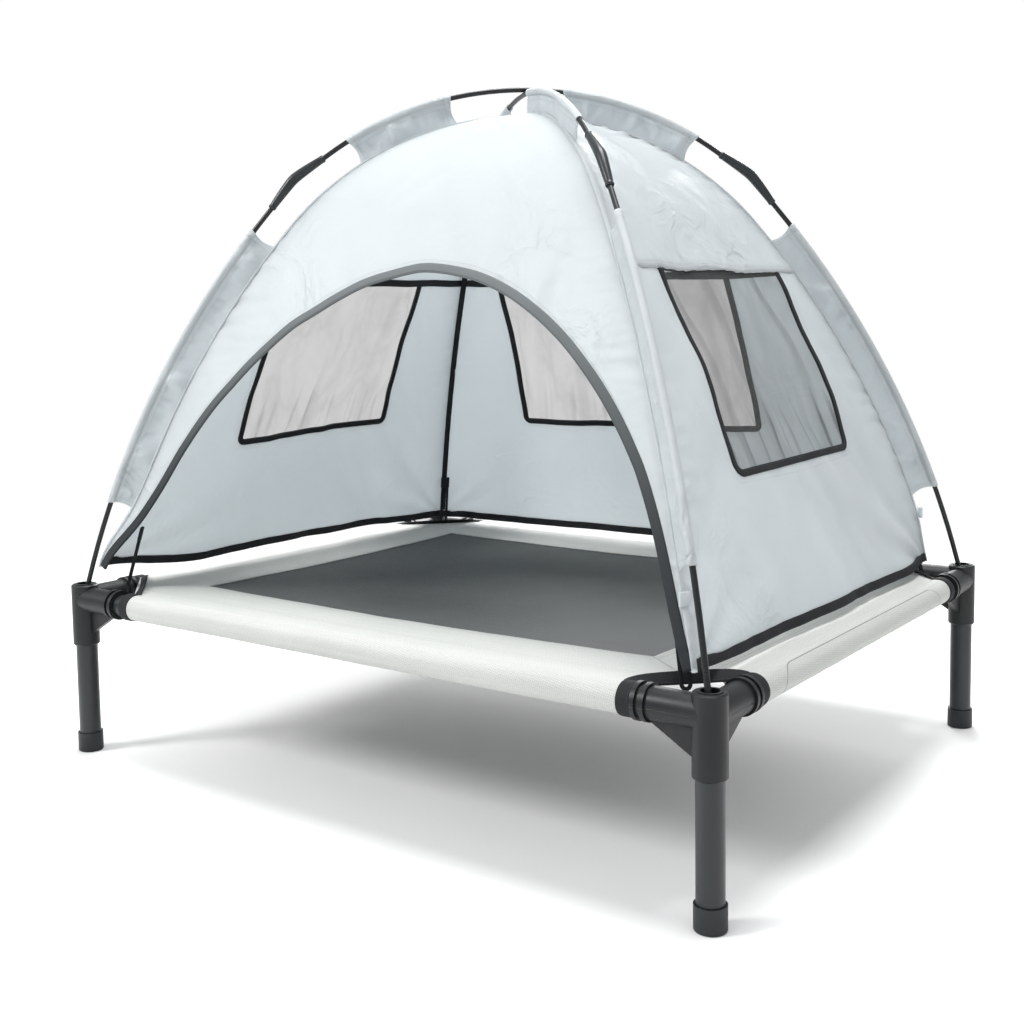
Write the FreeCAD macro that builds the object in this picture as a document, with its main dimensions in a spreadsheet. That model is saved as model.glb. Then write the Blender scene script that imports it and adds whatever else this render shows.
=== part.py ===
"""Raised pet cot with a lift-off dome canopy.

A tubular frame on four capped legs carries a fabric sling.  Two sprung poles
cross over it and stand in the tops of the corner posts; a four-sided tent
hangs from them by sleeves sewn to its corner seams.

Frame: millimetres, +Z up, origin on the floor below the middle of the cot,
+X along the long side, -Y the side with the door.
"""
import FreeCAD, Part
import math
import os

import Sketcher
from FreeCAD import Matrix, Placement, Rotation, Vector

SIZES = (
    # corner posts and frame
    ("overall_length", 762.0),
    ("overall_width", 610.0),
    ("deck_height", 178.0),
    ("post_wall", 2.35),
    ("post_length", 64.0),
    ("post_chamfer", 1.2),
    ("pole_socket_diameter", 15.0),
    ("pole_socket_depth", 26.0),
    ("socket_lip_width", 2.25),
    ("socket_lip_height", 0.8),
    ("arm_top_drop", 3.0),
    ("arm_wall", 1.85),
    ("arm_reach", 61.0),
    ("arm_socket_depth", 44.0),
    ("rail_end_gap", 1.0),
    ("collar_rise", 2.0),
    ("collar_width", 4.0),
    ("collar_spacing", 8.0),
    ("collar_inset", 1.0),
    ("gusset_reach", 52.0),
    ("gusset_drop", 58.5),
    ("gusset_thickness", 5.0),
    ("gusset_edge", 0.5),
    ("tube_diameter", 22.0),
    ("tube_wall", 1.2),
    ("tube_clearance", 0.15),
    ("leg_insertion", 30.0),
    ("foot_wall", 1.65),
    ("foot_height", 20.0),
    ("foot_floor", 3.0),
    ("foot_round", 1.5),
    # sling
    ("sleeve_gap", 0.3),
    ("sleeve_wall", 2.0),
    ("band_start", 70.0),
    ("band_width", 12.0),
    ("band_rise", 0.5),
    ("sheet_thickness", 1.6),
    ("sheet_drop", 0.5),
    ("sheet_overlap", 3.0),
    ("border_side", 96.0),
    ("border_front", 86.0),
    ("corner_binding_width", 9.0),
    ("corner_binding_thickness", 2.4),
    # poles
    ("rod_diameter", 5.0),
    ("rod_clearance", 0.15),
    ("pole_apex_height", 686.0),
    ("pole_crossing_drop", 6.0),
    ("pole_foot_lean", 14.0),
    ("pole_foot_depth", 15.0),
    ("upper_half_sweep", 35.5),
    ("elbow_turn", 14.5),
    ("elbow_leg", 43.5),
    ("elbow_end_wall", 1.2),
    ("elbow_kink_wall", 3.0),
    ("elbow_hump", 1.0),
    ("elbow_stop", 6.5),
    ("tip_wall", 1.05),
    ("tip_length", 16.0),
    ("tip_floor", 1.5),
    ("tip_gap", 2.0),
    # tent
    ("fin_depth", 26.0),
    ("fin_cloth", 1.6),
    ("fin_sleeve_wall", 1.2),
    ("fin_bare_rod", 24.0),
    ("fin_foot_height", 264.0),
    ("fin_stop_front_left", 74.0),
    ("fin_stop_front_right", 24.0),
    ("fin_stop_back_left", 50.0),
    ("fin_stop_back_right", 42.0),
    ("tent_cloth", 2.0),
    ("binding_proud", 0.7),
    ("hem_height", 180.0),
    ("hem_width", 9.0),
    ("crown_seam_height", 497.0),
    ("door_margin", 20.0),
    ("door_top_height", 504.0),
    ("door_centre_height", 150.0),
    ("door_binding", 9.0),
    ("side_window_top_margin", 62.0),
    ("side_window_foot_margin", 128.0),
    ("back_window_top_margin", 66.0),
    ("back_window_foot_margin", 153.0),
    ("window_foot_height", 316.0),
    ("window_round", 18.0),
    ("window_binding", 6.5),
    ("mesh_cloth", 0.8),
    ("loop_width", 9.0),
    ("loop_length", 66.0),
    ("loop_band", 2.6),
    ("loop_thickness", 1.8),
    ("loop_top_height", 230.0),
    ("loop_lean", 15.7),
    ("loop_inset", 14.0),
)

CORNERS = (
    # name, side along X, side along Y, turn of the connector about Z
    ("front_left", -1, -1, -90.0),
    ("front_right", 1, -1, 0.0),
    ("back_right", 1, 1, 90.0),
    ("back_left", -1, 1, 180.0),
)

X_AXIS = Vector(1, 0, 0)
Y_AXIS = Vector(0, 1, 0)
Z_AXIS = Vector(0, 0, 1)

doc = FreeCAD.newDocument("raised_pet_cot")
nodes = []


# ---------------------------------------------------------------- the sheet

def make_sheet():
    """Write every driving size into a spreadsheet, one alias to a row."""
    sheet = doc.addObject("Spreadsheet::Sheet", "sizes")
    for row, (alias, value) in enumerate(SIZES, start=1):
        sheet.set(f"A{row}", alias)
        sheet.set(f"B{row}", str(value))
        sheet.setAlias(f"B{row}", alias)
    doc.recompute()
    return sheet


SHEET = make_sheet()


def size(alias):
    """Read one size back from the sheet."""
    return float(SHEET.get(alias))


def cell(alias):
    """Name one size inside an expression."""
    return f"<<sizes>>.{alias}"


TUBE_BORE = f"({cell('tube_diameter')} / 2 + {cell('tube_clearance')})"
POST_RADIUS = f"({TUBE_BORE} + {cell('post_wall')})"
ARM_RADIUS = f"({TUBE_BORE} + {cell('arm_wall')})"
SLEEVE_BORE = f"({cell('tube_diameter')} / 2 + {cell('sleeve_gap')})"
SLEEVE_RADIUS = f"({SLEEVE_BORE} + {cell('sleeve_wall')})"
POST_X = f"({cell('overall_length')} / 2 - {POST_RADIUS})"
POST_Y = f"({cell('overall_width')} / 2 - {POST_RADIUS})"
ARM_AXIS_DROP = f"({cell('arm_top_drop')} + {ARM_RADIUS})"
ARM_AXIS_Z = f"({cell('deck_height')} - {ARM_AXIS_DROP})"
SHEET_TOP_Z = f"({ARM_AXIS_Z} + {SLEEVE_RADIUS} - {cell('sheet_drop')})"
BAND_END = f"({cell('band_start')} + {cell('band_width')})"


# ------------------------------------------------------- document helpers

def keep(obj, node):
    """Make an object a node: its label names the node's file."""
    obj.Label = node
    nodes.append(obj)
    return obj


def bind(obj, **expressions):
    """Bind properties to expressions; x, y, z and turn mean the Placement."""
    paths = {"x": "Placement.Base.x", "y": "Placement.Base.y", "z": "Placement.Base.z"}
    for name, expression in expressions.items():
        obj.setExpression(paths.get(name, name), str(expression))
    return obj


def cylinder(name, radius, height, direction=Z_AXIS, **place):
    """A bound Part cylinder whose axis points along direction."""
    obj = doc.addObject("Part::Cylinder", name)
    obj.Placement = Placement(Vector(), Rotation(Z_AXIS, direction))
    return bind(obj, Radius=radius, Height=height, **place)


def box(name, length, width, height, **place):
    """A bound Part box."""
    obj = doc.addObject("Part::Box", name)
    return bind(obj, Length=length, Width=width, Height=height, **place)


def fuse(name, shapes):
    """Join several objects."""
    obj = doc.addObject("Part::MultiFuse", name)
    obj.Shapes = shapes
    obj.Refine = True
    return obj


def cut(name, base, tool):
    """Take tool away from base."""
    obj = doc.addObject("Part::Cut", name)
    obj.Base = base
    obj.Tool = tool
    obj.Refine = True
    return obj


def place_at_corner(obj, corner_x, corner_y, turn):
    """Stand a piece modelled on the post axis at one corner."""
    obj.Placement = Placement(Vector(), Rotation(Z_AXIS, turn))
    return bind(obj, x=f"{corner_x} * ({POST_X})", y=f"{corner_y} * ({POST_Y})")


def origin_plane(body, role):
    """Find one of a body's own origin planes by its role."""
    return next(plane for plane in body.Origin.OriginFeatures if plane.Role == role)


def new_body(name):
    """An empty PartDesign body."""
    return doc.addObject("PartDesign::Body", name)


def sketch_on(body, name, role):
    """A sketch lying on one of its body's origin planes."""
    sketch = body.newObject("Sketcher::SketchObject", name)
    sketch.AttachmentSupport = [(origin_plane(body, role), "")]
    sketch.MapMode = "FlatFace"
    return sketch


def draw_circle(sketch, radius, name):
    """Add a circle about the sketch's origin with a bound radius."""
    index = sketch.addGeometry(Part.Circle(Vector(), Z_AXIS, 5.0), False)
    sketch.addConstraint(Sketcher.Constraint("Coincident", index, 3, -1, 1))
    constraint = sketch.addConstraint(Sketcher.Constraint("Radius", index, 5.0))
    sketch.renameConstraint(constraint, name)
    sketch.setExpression(f"Constraints.{name}", radius)


def pad_ring(body, role, outer, inner, length, midplane=False):
    """Pad a disc, or a ring when inner is given."""
    sketch = sketch_on(body, f"{body.Name}_section", role)
    draw_circle(sketch, outer, "outer_radius")
    if inner:
        draw_circle(sketch, inner, "inner_radius")
    pad = body.newObject("PartDesign::Pad", f"{body.Name}_pad")
    pad.Profile = sketch
    pad.Midplane = midplane
    bind(pad, Length=length)
    doc.recompute()
    return pad


# -------------------------------------------------------------- the frame

ARMS = (("x", Vector(-1, 0, 0)), ("y", Y_AXIS))


def along(arm, distance):
    """Shift a piece along one arm of a connector modelled on its post's axis."""
    return {"x": f"-{distance}"} if arm == "x" else {"y": distance}


def make_connector(corner, corner_x, corner_y, turn):
    """Moulded corner: a post, two arms at right angles and two gussets.

    Modelled on the post's axis with its arms along -X and +Y.
    """
    post = cylinder(f"post_{corner}", POST_RADIUS, cell("post_length"),
                    z=f"{cell('deck_height')} - {cell('post_length')}")
    chamfer = doc.addObject("Part::Chamfer", f"post_edge_{corner}")
    chamfer.Base = post
    doc.recompute()
    rims = [index for index, edge in enumerate(post.Shape.Edges, start=1) if edge.Closed]
    chamfer.Edges = [(index, size("post_chamfer"), size("post_chamfer")) for index in rims]
    lip = cylinder(f"lip_{corner}", f"{cell('pole_socket_diameter')} / 2 + {cell('socket_lip_width')}",
                   f"2 * {cell('socket_lip_height')}",
                   z=f"{cell('deck_height')} - {cell('socket_lip_height')}")
    solids = [chamfer, lip]
    bores = [
        cylinder(f"pole_socket_{corner}", f"{cell('pole_socket_diameter')} / 2",
                 f"2 * {cell('pole_socket_depth')}",
                 z=f"{cell('deck_height')} - {cell('pole_socket_depth')}"),
        cylinder(f"leg_socket_{corner}", TUBE_BORE, f"2 * {cell('leg_insertion')}",
                 z=f"{cell('deck_height')} - {cell('post_length')} - {cell('leg_insertion')}"),
    ]
    for arm, direction in ARMS:
        solids.append(cylinder(f"arm_{arm}_{corner}", ARM_RADIUS, cell("arm_reach"), direction,
                               z=ARM_AXIS_Z))
        for ring in range(2):
            start = (f"({cell('arm_reach')} - {cell('collar_inset')} - {cell('collar_width')}"
                     f" - {ring} * {cell('collar_spacing')})")
            solids.append(cylinder(f"collar_{arm}{ring}_{corner}", f"{ARM_RADIUS} + {cell('collar_rise')}",
                                   cell("collar_width"), direction, z=ARM_AXIS_Z, **along(arm, start)))
        solids.append(make_gusset(f"gusset_{arm}_{corner}", direction))
        start = f"({cell('arm_reach')} - {cell('arm_socket_depth')})"
        bores.append(cylinder(f"rail_socket_{arm}_{corner}", TUBE_BORE, f"2 * {cell('arm_socket_depth')}",
                              direction, z=ARM_AXIS_Z, **along(arm, start)))
    body = fuse(f"connector_solid_{corner}", solids)
    hollow = fuse(f"connector_bores_{corner}", bores)
    connector = cut(f"connector_{corner}", body, hollow)
    place_at_corner(connector, corner_x, corner_y, turn)
    return keep(connector, f"corner_connector_{corner}")


def make_gusset(name, direction):
    """A triangular web below one arm, as a wedge tapering towards the arm's end."""
    wedge = doc.addObject("Part::Wedge", name)
    top = f"({ARM_AXIS_DROP} + {TUBE_BORE})"
    bind(wedge, Xmin="0", Xmax=f"{cell('gusset_drop')} - {top}",
         Ymin="0", Ymax=cell("gusset_reach"),
         Zmin="0", Zmax=cell("gusset_thickness"),
         X2min="0", X2max=cell("gusset_edge"), Z2min="0", Z2max=cell("gusset_thickness"))
    # local X points down, local Y along the arm
    across = Vector(0, 0, -1).cross(direction)
    wedge.Placement = Placement(Vector(), Rotation(Vector(0, 0, -1), direction, across, "ZXY"))
    half = f"{cell('gusset_thickness')} / 2"
    return bind(wedge, x=f"{-across.x} * {half}", y=f"{-across.y} * {half}",
                z=f"{cell('deck_height')} - {top}")


def make_leg(corner, corner_x, corner_y):
    """Straight leg tube between the post's socket and the foot cap."""
    body = new_body(f"leg_{corner}")
    length = (f"{cell('deck_height')} - {cell('post_length')} + {cell('leg_insertion')}"
              f" - {cell('foot_floor')}")
    pad_ring(body, "XY_Plane", f"{cell('tube_diameter')} / 2",
             f"{cell('tube_diameter')} / 2 - {cell('tube_wall')}", length)
    bind(body, x=f"{corner_x} * ({POST_X})", y=f"{corner_y} * ({POST_Y})", z=cell("foot_floor"))
    return keep(body, f"leg_tube_{corner}")


def make_foot(corner, corner_x, corner_y):
    """Moulded cap pushed over the foot of the leg."""
    body = new_body(f"foot_{corner}")
    pad = pad_ring(body, "XY_Plane", f"{TUBE_BORE} + {cell('foot_wall')}", None, cell("foot_height"))
    plan = body.newObject("PartDesign::Plane", f"foot_floor_plane_{corner}")
    plan.AttachmentSupport = [(origin_plane(body, "XY_Plane"), "")]
    plan.MapMode = "FlatFace"
    plan.setExpression("AttachmentOffset.Base.z", cell("foot_floor"))
    sketch = body.newObject("Sketcher::SketchObject", f"foot_bore_{corner}")
    sketch.AttachmentSupport = [(plan, "")]
    sketch.MapMode = "FlatFace"
    draw_circle(sketch, TUBE_BORE, "bore_radius")
    pocket = body.newObject("PartDesign::Pocket", f"foot_pocket_{corner}")
    pocket.Profile = sketch
    pocket.Reversed = True
    bind(pocket, Length=cell("foot_height"))
    doc.recompute()
    if pocket.Shape.Volume > 0.8 * pad.Shape.Volume:
        raise RuntimeError(f"the foot cap's bore cut nothing at {corner}")
    rim = [f"Edge{index}" for index, edge in enumerate(pocket.Shape.Edges, start=1)
           if edge.Closed and edge.BoundBox.ZMax < 0.01]
    fillet = body.newObject("PartDesign::Fillet", f"foot_round_{corner}")
    fillet.Base = (pocket, rim)
    bind(fillet, Radius=cell("foot_round"))
    bind(body, x=f"{corner_x} * ({POST_X})", y=f"{corner_y} * ({POST_Y})")
    return keep(body, f"foot_cap_{corner}")


def make_rail(node, role, post, **place):
    """A straight rail tube between two connectors."""
    body = new_body(node)
    length = f"2 * ({post} - {cell('arm_reach')} + {cell('arm_socket_depth')} - {cell('rail_end_gap')})"
    pad_ring(body, role, f"{cell('tube_diameter')} / 2",
             f"{cell('tube_diameter')} / 2 - {cell('tube_wall')}", length, midplane=True)
    bind(body, z=ARM_AXIS_Z, **place)
    return keep(body, node)


# -------------------------------------------------------------- the sling

def rail_cylinders(name, radius, clearance):
    """Four cylinders along the rails, ending clearance short of the post axes."""
    made = []
    for side in (-1, 1):
        made.append(cylinder(f"{name}_x{side + 1}", radius, f"2 * ({POST_X} - {clearance})", X_AXIS,
                             x=f"-({POST_X} - {clearance})", y=f"{side} * ({POST_Y})", z=ARM_AXIS_Z))
        made.append(cylinder(f"{name}_y{side + 1}", radius, f"2 * ({POST_Y} - {clearance})", Y_AXIS,
                             x=f"{side} * ({POST_X})", y=f"-({POST_Y} - {clearance})", z=ARM_AXIS_Z))
    return made


def make_corner_binding(corner, corner_x, corner_y, turn):
    """Black edging of one corner: two bands round the sleeve ends and the strip between them."""
    bands = []
    bores = []
    for arm, direction in ARMS:
        bands.append(cylinder(f"band_{arm}_{corner}", f"{SLEEVE_RADIUS} + {cell('band_rise')}",
                              cell("band_width"), direction, z=ARM_AXIS_Z,
                              **along(arm, cell("band_start"))))
        bores.append(cylinder(f"band_bore_{arm}_{corner}", SLEEVE_BORE, f"2 * {BAND_END}", direction,
                              z=ARM_AXIS_Z))
    middle = f"({cell('band_start')} + {cell('band_width')} / 2)"
    strip = box(f"strip_{corner}", f"{middle} * sqrt(2)", cell("corner_binding_width"),
                cell("corner_binding_thickness"))
    strip.Placement = Placement(Vector(), Rotation(Z_AXIS, 45.0))
    half = f"{cell('corner_binding_width')} / sqrt(8)"
    bind(strip, x=f"-{middle} + {half}", y=f"-{half}",
         z=f"{SHEET_TOP_Z} - {cell('sheet_thickness')} / 2 - {cell('corner_binding_thickness')} / 2")
    binding = cut(f"binding_{corner}", fuse(f"binding_solid_{corner}", bands + [strip]),
                  fuse(f"binding_bores_{corner}", bores))
    place_at_corner(binding, corner_x, corner_y, turn)
    return keep(binding, f"corner_binding_{corner}")


def make_sling(bindings):
    """Light border with four rail sleeves, and the darker mesh centre sewn into it."""
    sleeves = rail_cylinders("sleeve", SLEEVE_RADIUS, BAND_END)
    edge_x = f"({POST_X} - {cell('sheet_overlap')})"
    edge_y = f"({POST_Y} - {cell('sheet_overlap')})"
    plate = box("border_plate", f"2 * {edge_x}", f"2 * {edge_y}", cell("sheet_thickness"),
                x=f"-{edge_x}", y=f"-{edge_y}", z=f"{SHEET_TOP_Z} - {cell('sheet_thickness')}")
    inner_x = f"({POST_X} - {cell('border_side')})"
    inner_y = f"({POST_Y} - {cell('border_front')})"
    through = f"4 * {cell('sheet_thickness')}"
    below = f"{SHEET_TOP_Z} - 2 * {cell('sheet_thickness')}"
    cuts = [box("border_window", f"2 * {inner_x}", f"2 * {inner_y}", through,
                x=f"-{inner_x}", y=f"-{inner_y}", z=below)]
    # a square turned by 45 degrees about each post reaches to the middle of the diagonal strip
    reach = f"({cell('band_start')} + {cell('band_width')} / 2)"
    for corner, corner_x, corner_y, _turn in CORNERS:
        notch = box(f"notch_{corner}", f"{reach} * sqrt(2)", f"{reach} * sqrt(2)", through)
        notch.Placement = Placement(Vector(), Rotation(Z_AXIS, 45.0))
        cuts.append(bind(notch, x=f"{corner_x} * {POST_X}", y=f"{corner_y} * {POST_Y} - {reach}", z=below))
    trimmed = cut("border_trimmed", plate, fuse("border_cuts", cuts))
    bores = rail_cylinders("sleeve_bore", SLEEVE_BORE, cell("band_start"))
    cloth = cut("border_cloth", fuse("border_solid", [trimmed] + sleeves), fuse("sleeve_bores", bores))
    keep(cut("border", cloth, fuse("border_edging", bindings)), "sling_border")
    keep(box("mesh", f"2 * {inner_x}", f"2 * {inner_y}", cell("sheet_thickness"),
             x=f"-{inner_x}", y=f"-{inner_y}", z=f"{SHEET_TOP_Z} - {cell('sheet_thickness')}"),
         "sling_mesh")


# -------------------------------------------------------------- the poles

def post_position():
    """Where the back right post stands, as distances along X and Y."""
    radius = size("tube_diameter") / 2 + size("tube_clearance") + size("post_wall")
    return size("overall_length") / 2 - radius, size("overall_width") / 2 - radius


class PoleCurve:
    """Centre line of half a pole in its own upright plane, X outward and Z up.

    From the foot up: an arc, an elbow of two equal straight legs with a kink
    between them, and an arc centred on the middle of the cot.  Every point of
    an arc is centre + radius * (cos lean, sin lean), where lean is how far the
    pole leans from upright there.
    """

    def __init__(self, apex_height):
        """Solve the two radii so that the pole rises from its socket to the apex."""
        self.foot = Vector(math.hypot(*post_position()), 0, size("deck_height") - size("pole_foot_depth"))
        self.foot_lean = math.radians(size("pole_foot_lean"))
        self.high_lean = math.radians(90.0 - size("upper_half_sweep"))
        self.low_lean = self.high_lean - math.radians(size("elbow_turn"))
        leg = size("elbow_leg")
        reach = self.foot.x - leg * (math.sin(self.high_lean) + math.sin(self.low_lean))
        rise = apex_height - self.foot.z - leg * (math.cos(self.high_lean) + math.cos(self.low_lean))
        # reach = upper * a + lower * b   and   rise = upper * c + lower * d
        a = math.cos(self.high_lean)
        b = math.cos(self.foot_lean) - math.cos(self.low_lean)
        c = 1.0 - math.sin(self.high_lean)
        d = math.sin(self.low_lean) - math.sin(self.foot_lean)
        self.upper_radius = (reach * d - rise * b) / (a * d - b * c)
        self.lower_radius = (rise * a - reach * c) / (a * d - b * c)
        self.upper_centre = Vector(0, 0, apex_height - self.upper_radius)
        self.elbow_top = on_arc(self.upper_centre, self.upper_radius, self.high_lean)
        self.kink = self.elbow_top - tangent(self.high_lean) * leg
        self.elbow_foot = self.kink - tangent(self.low_lean) * leg
        self.lower_centre = on_arc(self.elbow_foot, -self.lower_radius, self.low_lean)
        self.elbow_radius = leg / math.tan((self.high_lean - self.low_lean) / 2)
        self.elbow_centre = on_arc(self.elbow_foot, -self.elbow_radius, self.low_lean)

    def seam_arcs(self, depth, start_height):
        """Three tangent arcs lying depth inside the pole, from start_height up to the middle."""
        lower = self.lower_radius - depth
        start = math.asin(min(1.0, (start_height - self.lower_centre.z) / lower))
        return (
            (self.lower_centre, lower, start, self.low_lean),
            (self.elbow_centre, self.elbow_radius - depth, self.low_lean, self.high_lean),
            (self.upper_centre, self.upper_radius - depth, self.high_lean, math.pi / 2),
        )

    def seam_reach(self, depth, height):
        """How far out the seam lies at a height."""
        for centre, radius, _start, end in self.seam_arcs(depth, height):
            if height <= centre.z + radius * math.sin(end):
                return centre.x + math.sqrt(radius ** 2 - (height - centre.z) ** 2)
        raise ValueError("the height is above the tent")


def on_arc(centre, radius, lean):
    """A point of an arc in the pole's plane."""
    return centre + Vector(math.cos(lean), 0, math.sin(lean)) * radius


def tangent(lean):
    """The direction in which a pole climbs where it leans by lean."""
    return Vector(-math.sin(lean), 0, math.cos(lean))


def arc_tube(centre, radius, start, end, tube_radius):
    """A round bar along an arc in the pole's plane."""
    section = Part.Circle(on_arc(centre, radius, start), tangent(start), tube_radius)
    face = Part.Face(Part.Wire(section.toShape()))
    return face.revolve(centre, Vector(0, -1, 0), math.degrees(end - start))


def straight_bar(point, direction, length, radius):
    """A round bar from a point."""
    return Part.makeCylinder(radius, length, point, direction)


def feature(node, shape, placement=None):
    """Keep a shape as a node."""
    obj = doc.addObject("Part::Feature", node)
    obj.Shape = shape
    obj.Placement = (placement or Placement()).multiply(shape.Placement)
    return keep(obj, node)


def corner_placement(corner_x, corner_y):
    """Turn a piece from the pole's plane to the diagonal of one corner."""
    post_x, post_y = post_position()
    azimuth = math.atan2(corner_y * post_y, corner_x * post_x)
    return Placement(Vector(), Rotation(Z_AXIS, math.degrees(azimuth)))


def make_lower_rod(corner, curve, placement):
    """Lower rod: an arc with a straight end in the socket and one in the elbow."""
    radius = size("rod_diameter") / 2
    foot_end = size("deck_height") - size("pole_socket_depth") + size("tip_gap") + size("tip_floor")
    foot_stub = (curve.foot.z - foot_end) / math.cos(curve.foot_lean)
    arc = arc_tube(curve.lower_centre, curve.lower_radius, curve.foot_lean, curve.low_lean, radius)
    foot = straight_bar(curve.foot, tangent(curve.foot_lean) * -1, foot_stub, radius)
    head = straight_bar(curve.elbow_foot, tangent(curve.low_lean), elbow_stub(), radius)
    feature(f"lower_rod_{corner}", arc.multiFuse([foot, head]).removeSplitter(), placement)
    return curve.foot - tangent(curve.foot_lean) * foot_stub


def elbow_stub():
    """Length of rod inside each end of an elbow."""
    return size("elbow_leg") - size("elbow_stop")


def rod_bore():
    """Radius of the bores that the rods pass through or end in."""
    return size("rod_diameter") / 2 + size("rod_clearance")


def make_tips(curves):
    """Caps on the feet of the four lower rods, one node of four alike."""
    radius = rod_bore() + size("tip_wall")
    tips = []
    for corner, corner_x, corner_y, _turn in CORNERS:
        curve = curves[corner]
        lean = tangent(curve.foot_lean)
        floor = size("deck_height") - size("pole_socket_depth") + size("tip_gap")
        drop = (curve.foot.z - floor) / math.cos(curve.foot_lean)
        end = curve.foot - lean * drop
        cap = straight_bar(end, lean, size("tip_length"), radius)
        hole = straight_bar(end + lean * size("tip_floor"), lean, size("tip_length"), rod_bore())
        tip = cap.cut(hole)
        tip.Placement = corner_placement(corner_x, corner_y)
        tips.append(tip)
    feature("pole_foot_tips", Part.makeCompound(tips))


def make_elbow(corner, curve, placement):
    """Moulded elbow: two tapered sleeves meeting at a kink that bulges outward."""
    end = rod_bore() + size("elbow_end_wall")
    middle = rod_bore() + size("elbow_kink_wall")
    leg = size("elbow_leg")
    down = tangent(curve.low_lean) * -1
    up = tangent(curve.high_lean)
    outward = (down + up).normalize() * -1
    sections = [
        Part.Circle(curve.kink + down * leg, down * -1, end),
        Part.Circle(curve.kink + outward * size("elbow_hump"), (up - down).normalize(), middle),
        Part.Circle(curve.kink + up * leg, up, end),
    ]
    solid = Part.makeLoft([Part.Wire(section.toShape()) for section in sections], True, True)
    for direction in (down, up):
        start = curve.kink + direction * size("elbow_stop")
        solid = solid.cut(straight_bar(start, direction, 2 * leg, rod_bore()))
    feature(f"pole_elbow_{corner}", solid, placement)


def make_upper_rod(node, curve, placement):
    """Upper rod: one arc over the middle with a straight end in each elbow."""
    radius = size("rod_diameter") / 2
    arc = arc_tube(curve.upper_centre, curve.upper_radius, curve.high_lean,
                   math.pi - curve.high_lean, radius)
    stub = straight_bar(curve.elbow_top, tangent(curve.high_lean) * -1, elbow_stub(), radius)
    other = stub.mirror(Vector(), X_AXIS)
    feature(node, arc.multiFuse([stub, other]).removeSplitter(), placement)


# --------------------------------------------------------------- the tent

class TentSide:
    """One side of the tent, in a frame with X outward, Y across and Z up.

    The side is a band that follows the corner seams' profile, pulled in by
    squeeze because the side is nearer than the corners, and cut off by the
    upright planes through the corners.
    """

    FAR = 700.0

    def __init__(self, curve, near, along, yaw):
        """near and along are the half sizes of the post rectangle, out and across."""
        self.curve = curve
        self.squeeze = near / math.hypot(near, along)
        self.slope = along / near
        self.spread = along / math.hypot(near, along)
        self.placement = Placement(Vector(), Rotation(Z_AXIS, yaw))

    def arcs(self, depth, start_height):
        """Edges of the seam's profile at a depth inside the pole."""
        edges = []
        for centre, radius, start, end in self.curve.seam_arcs(depth, start_height):
            middle = on_arc(centre, radius, (start + end) / 2)
            edges.append(Part.Arc(on_arc(centre, radius, start), middle,
                                  on_arc(centre, radius, end)).toShape())
        return edges

    def extrude(self, edges):
        """Close, squeeze and extrude a profile across the side, then trim it to the corners."""
        squeeze = Matrix()
        squeeze.A11 = self.squeeze
        face = Part.Face(Part.Wire(Part.__sortEdges__(edges)))
        profile = face.transformGeometry(squeeze)
        profile.translate(Vector(0, -self.FAR, 0))
        slab = profile.extrude(Vector(0, 2 * self.FAR, 0))
        corners = [Vector(), Vector(self.FAR, -self.FAR * self.slope, 0),
                   Vector(self.FAR, self.FAR * self.slope, 0), Vector()]
        wedge = Part.Face(Part.makePolygon(corners)).extrude(Z_AXIS * 2 * self.FAR)
        return slab.common(wedge)

    def band(self, outer, inner, start_height):
        """Cloth between two depths, from start_height up to the apex."""
        outside = self.arcs(outer, start_height)
        inside = self.arcs(inner, start_height)
        foot = Part.makeLine(outside[0].Vertexes[0].Point, inside[0].Vertexes[0].Point)
        apex = Part.makeLine(outside[-1].Vertexes[-1].Point, inside[-1].Vertexes[-1].Point)
        return self.extrude(outside + [apex] + inside + [foot])

    def core(self, outer, start_height):
        """Everything inside the outer face of this side."""
        outside = self.arcs(outer, start_height)
        foot = outside[0].Vertexes[0].Point
        apex = outside[-1].Vertexes[-1].Point
        base = Vector(0, 0, foot.z)
        return self.extrude(outside + [Part.makeLine(apex, base), Part.makeLine(base, foot)])

    def layer(self, low, high):
        """A slab between two heights, as wide as the tent."""
        return Part.makeBox(2 * self.FAR, 2 * self.FAR, high - low, Vector(-self.FAR, -self.FAR, low))

    def half_width(self, height):
        """Half the side's width at a height, from seam to seam."""
        return self.spread * self.curve.seam_reach(size("fin_depth"), height)

    def add(self, node, shape):
        """Keep a piece of this side as a node."""
        return feature(node, shape.removeSplitter(), self.placement)


def arch_prism(half_width, margin):
    """The door's arch as a half ellipse pushed through the side, grown by margin."""
    across = half_width + margin
    tall = size("door_top_height") - size("door_centre_height") + margin
    circle = Part.Face(Part.Wire(Part.Circle(Vector(), X_AXIS, 1.0).toShape()))
    stretch = Matrix()
    stretch.A22 = across
    stretch.A33 = tall
    arch = circle.transformGeometry(stretch)
    arch.translate(Vector(0, 0, size("door_centre_height")))
    return arch.extrude(X_AXIS * TentSide.FAR)


def window_prism(top_half, foot_half, inset):
    """A window's outline pushed through the side, drawn in by inset at the sides and foot."""
    top = size("crown_seam_height")
    foot = size("window_foot_height") + inset
    outline = [Vector(0, -foot_half + inset, foot), Vector(0, foot_half - inset, foot),
               Vector(0, top_half - inset, top), Vector(0, -top_half + inset, top)]
    prism = Part.Face(Part.makePolygon(outline + outline[:1])).extrude(X_AXIS * TentSide.FAR)
    lower = [edge for edge in prism.Edges
             if edge.BoundBox.XLength > TentSide.FAR / 2 and edge.BoundBox.ZMax < foot + 1.0]
    return prism.makeFillet(size("window_round") - inset, lower)


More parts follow.
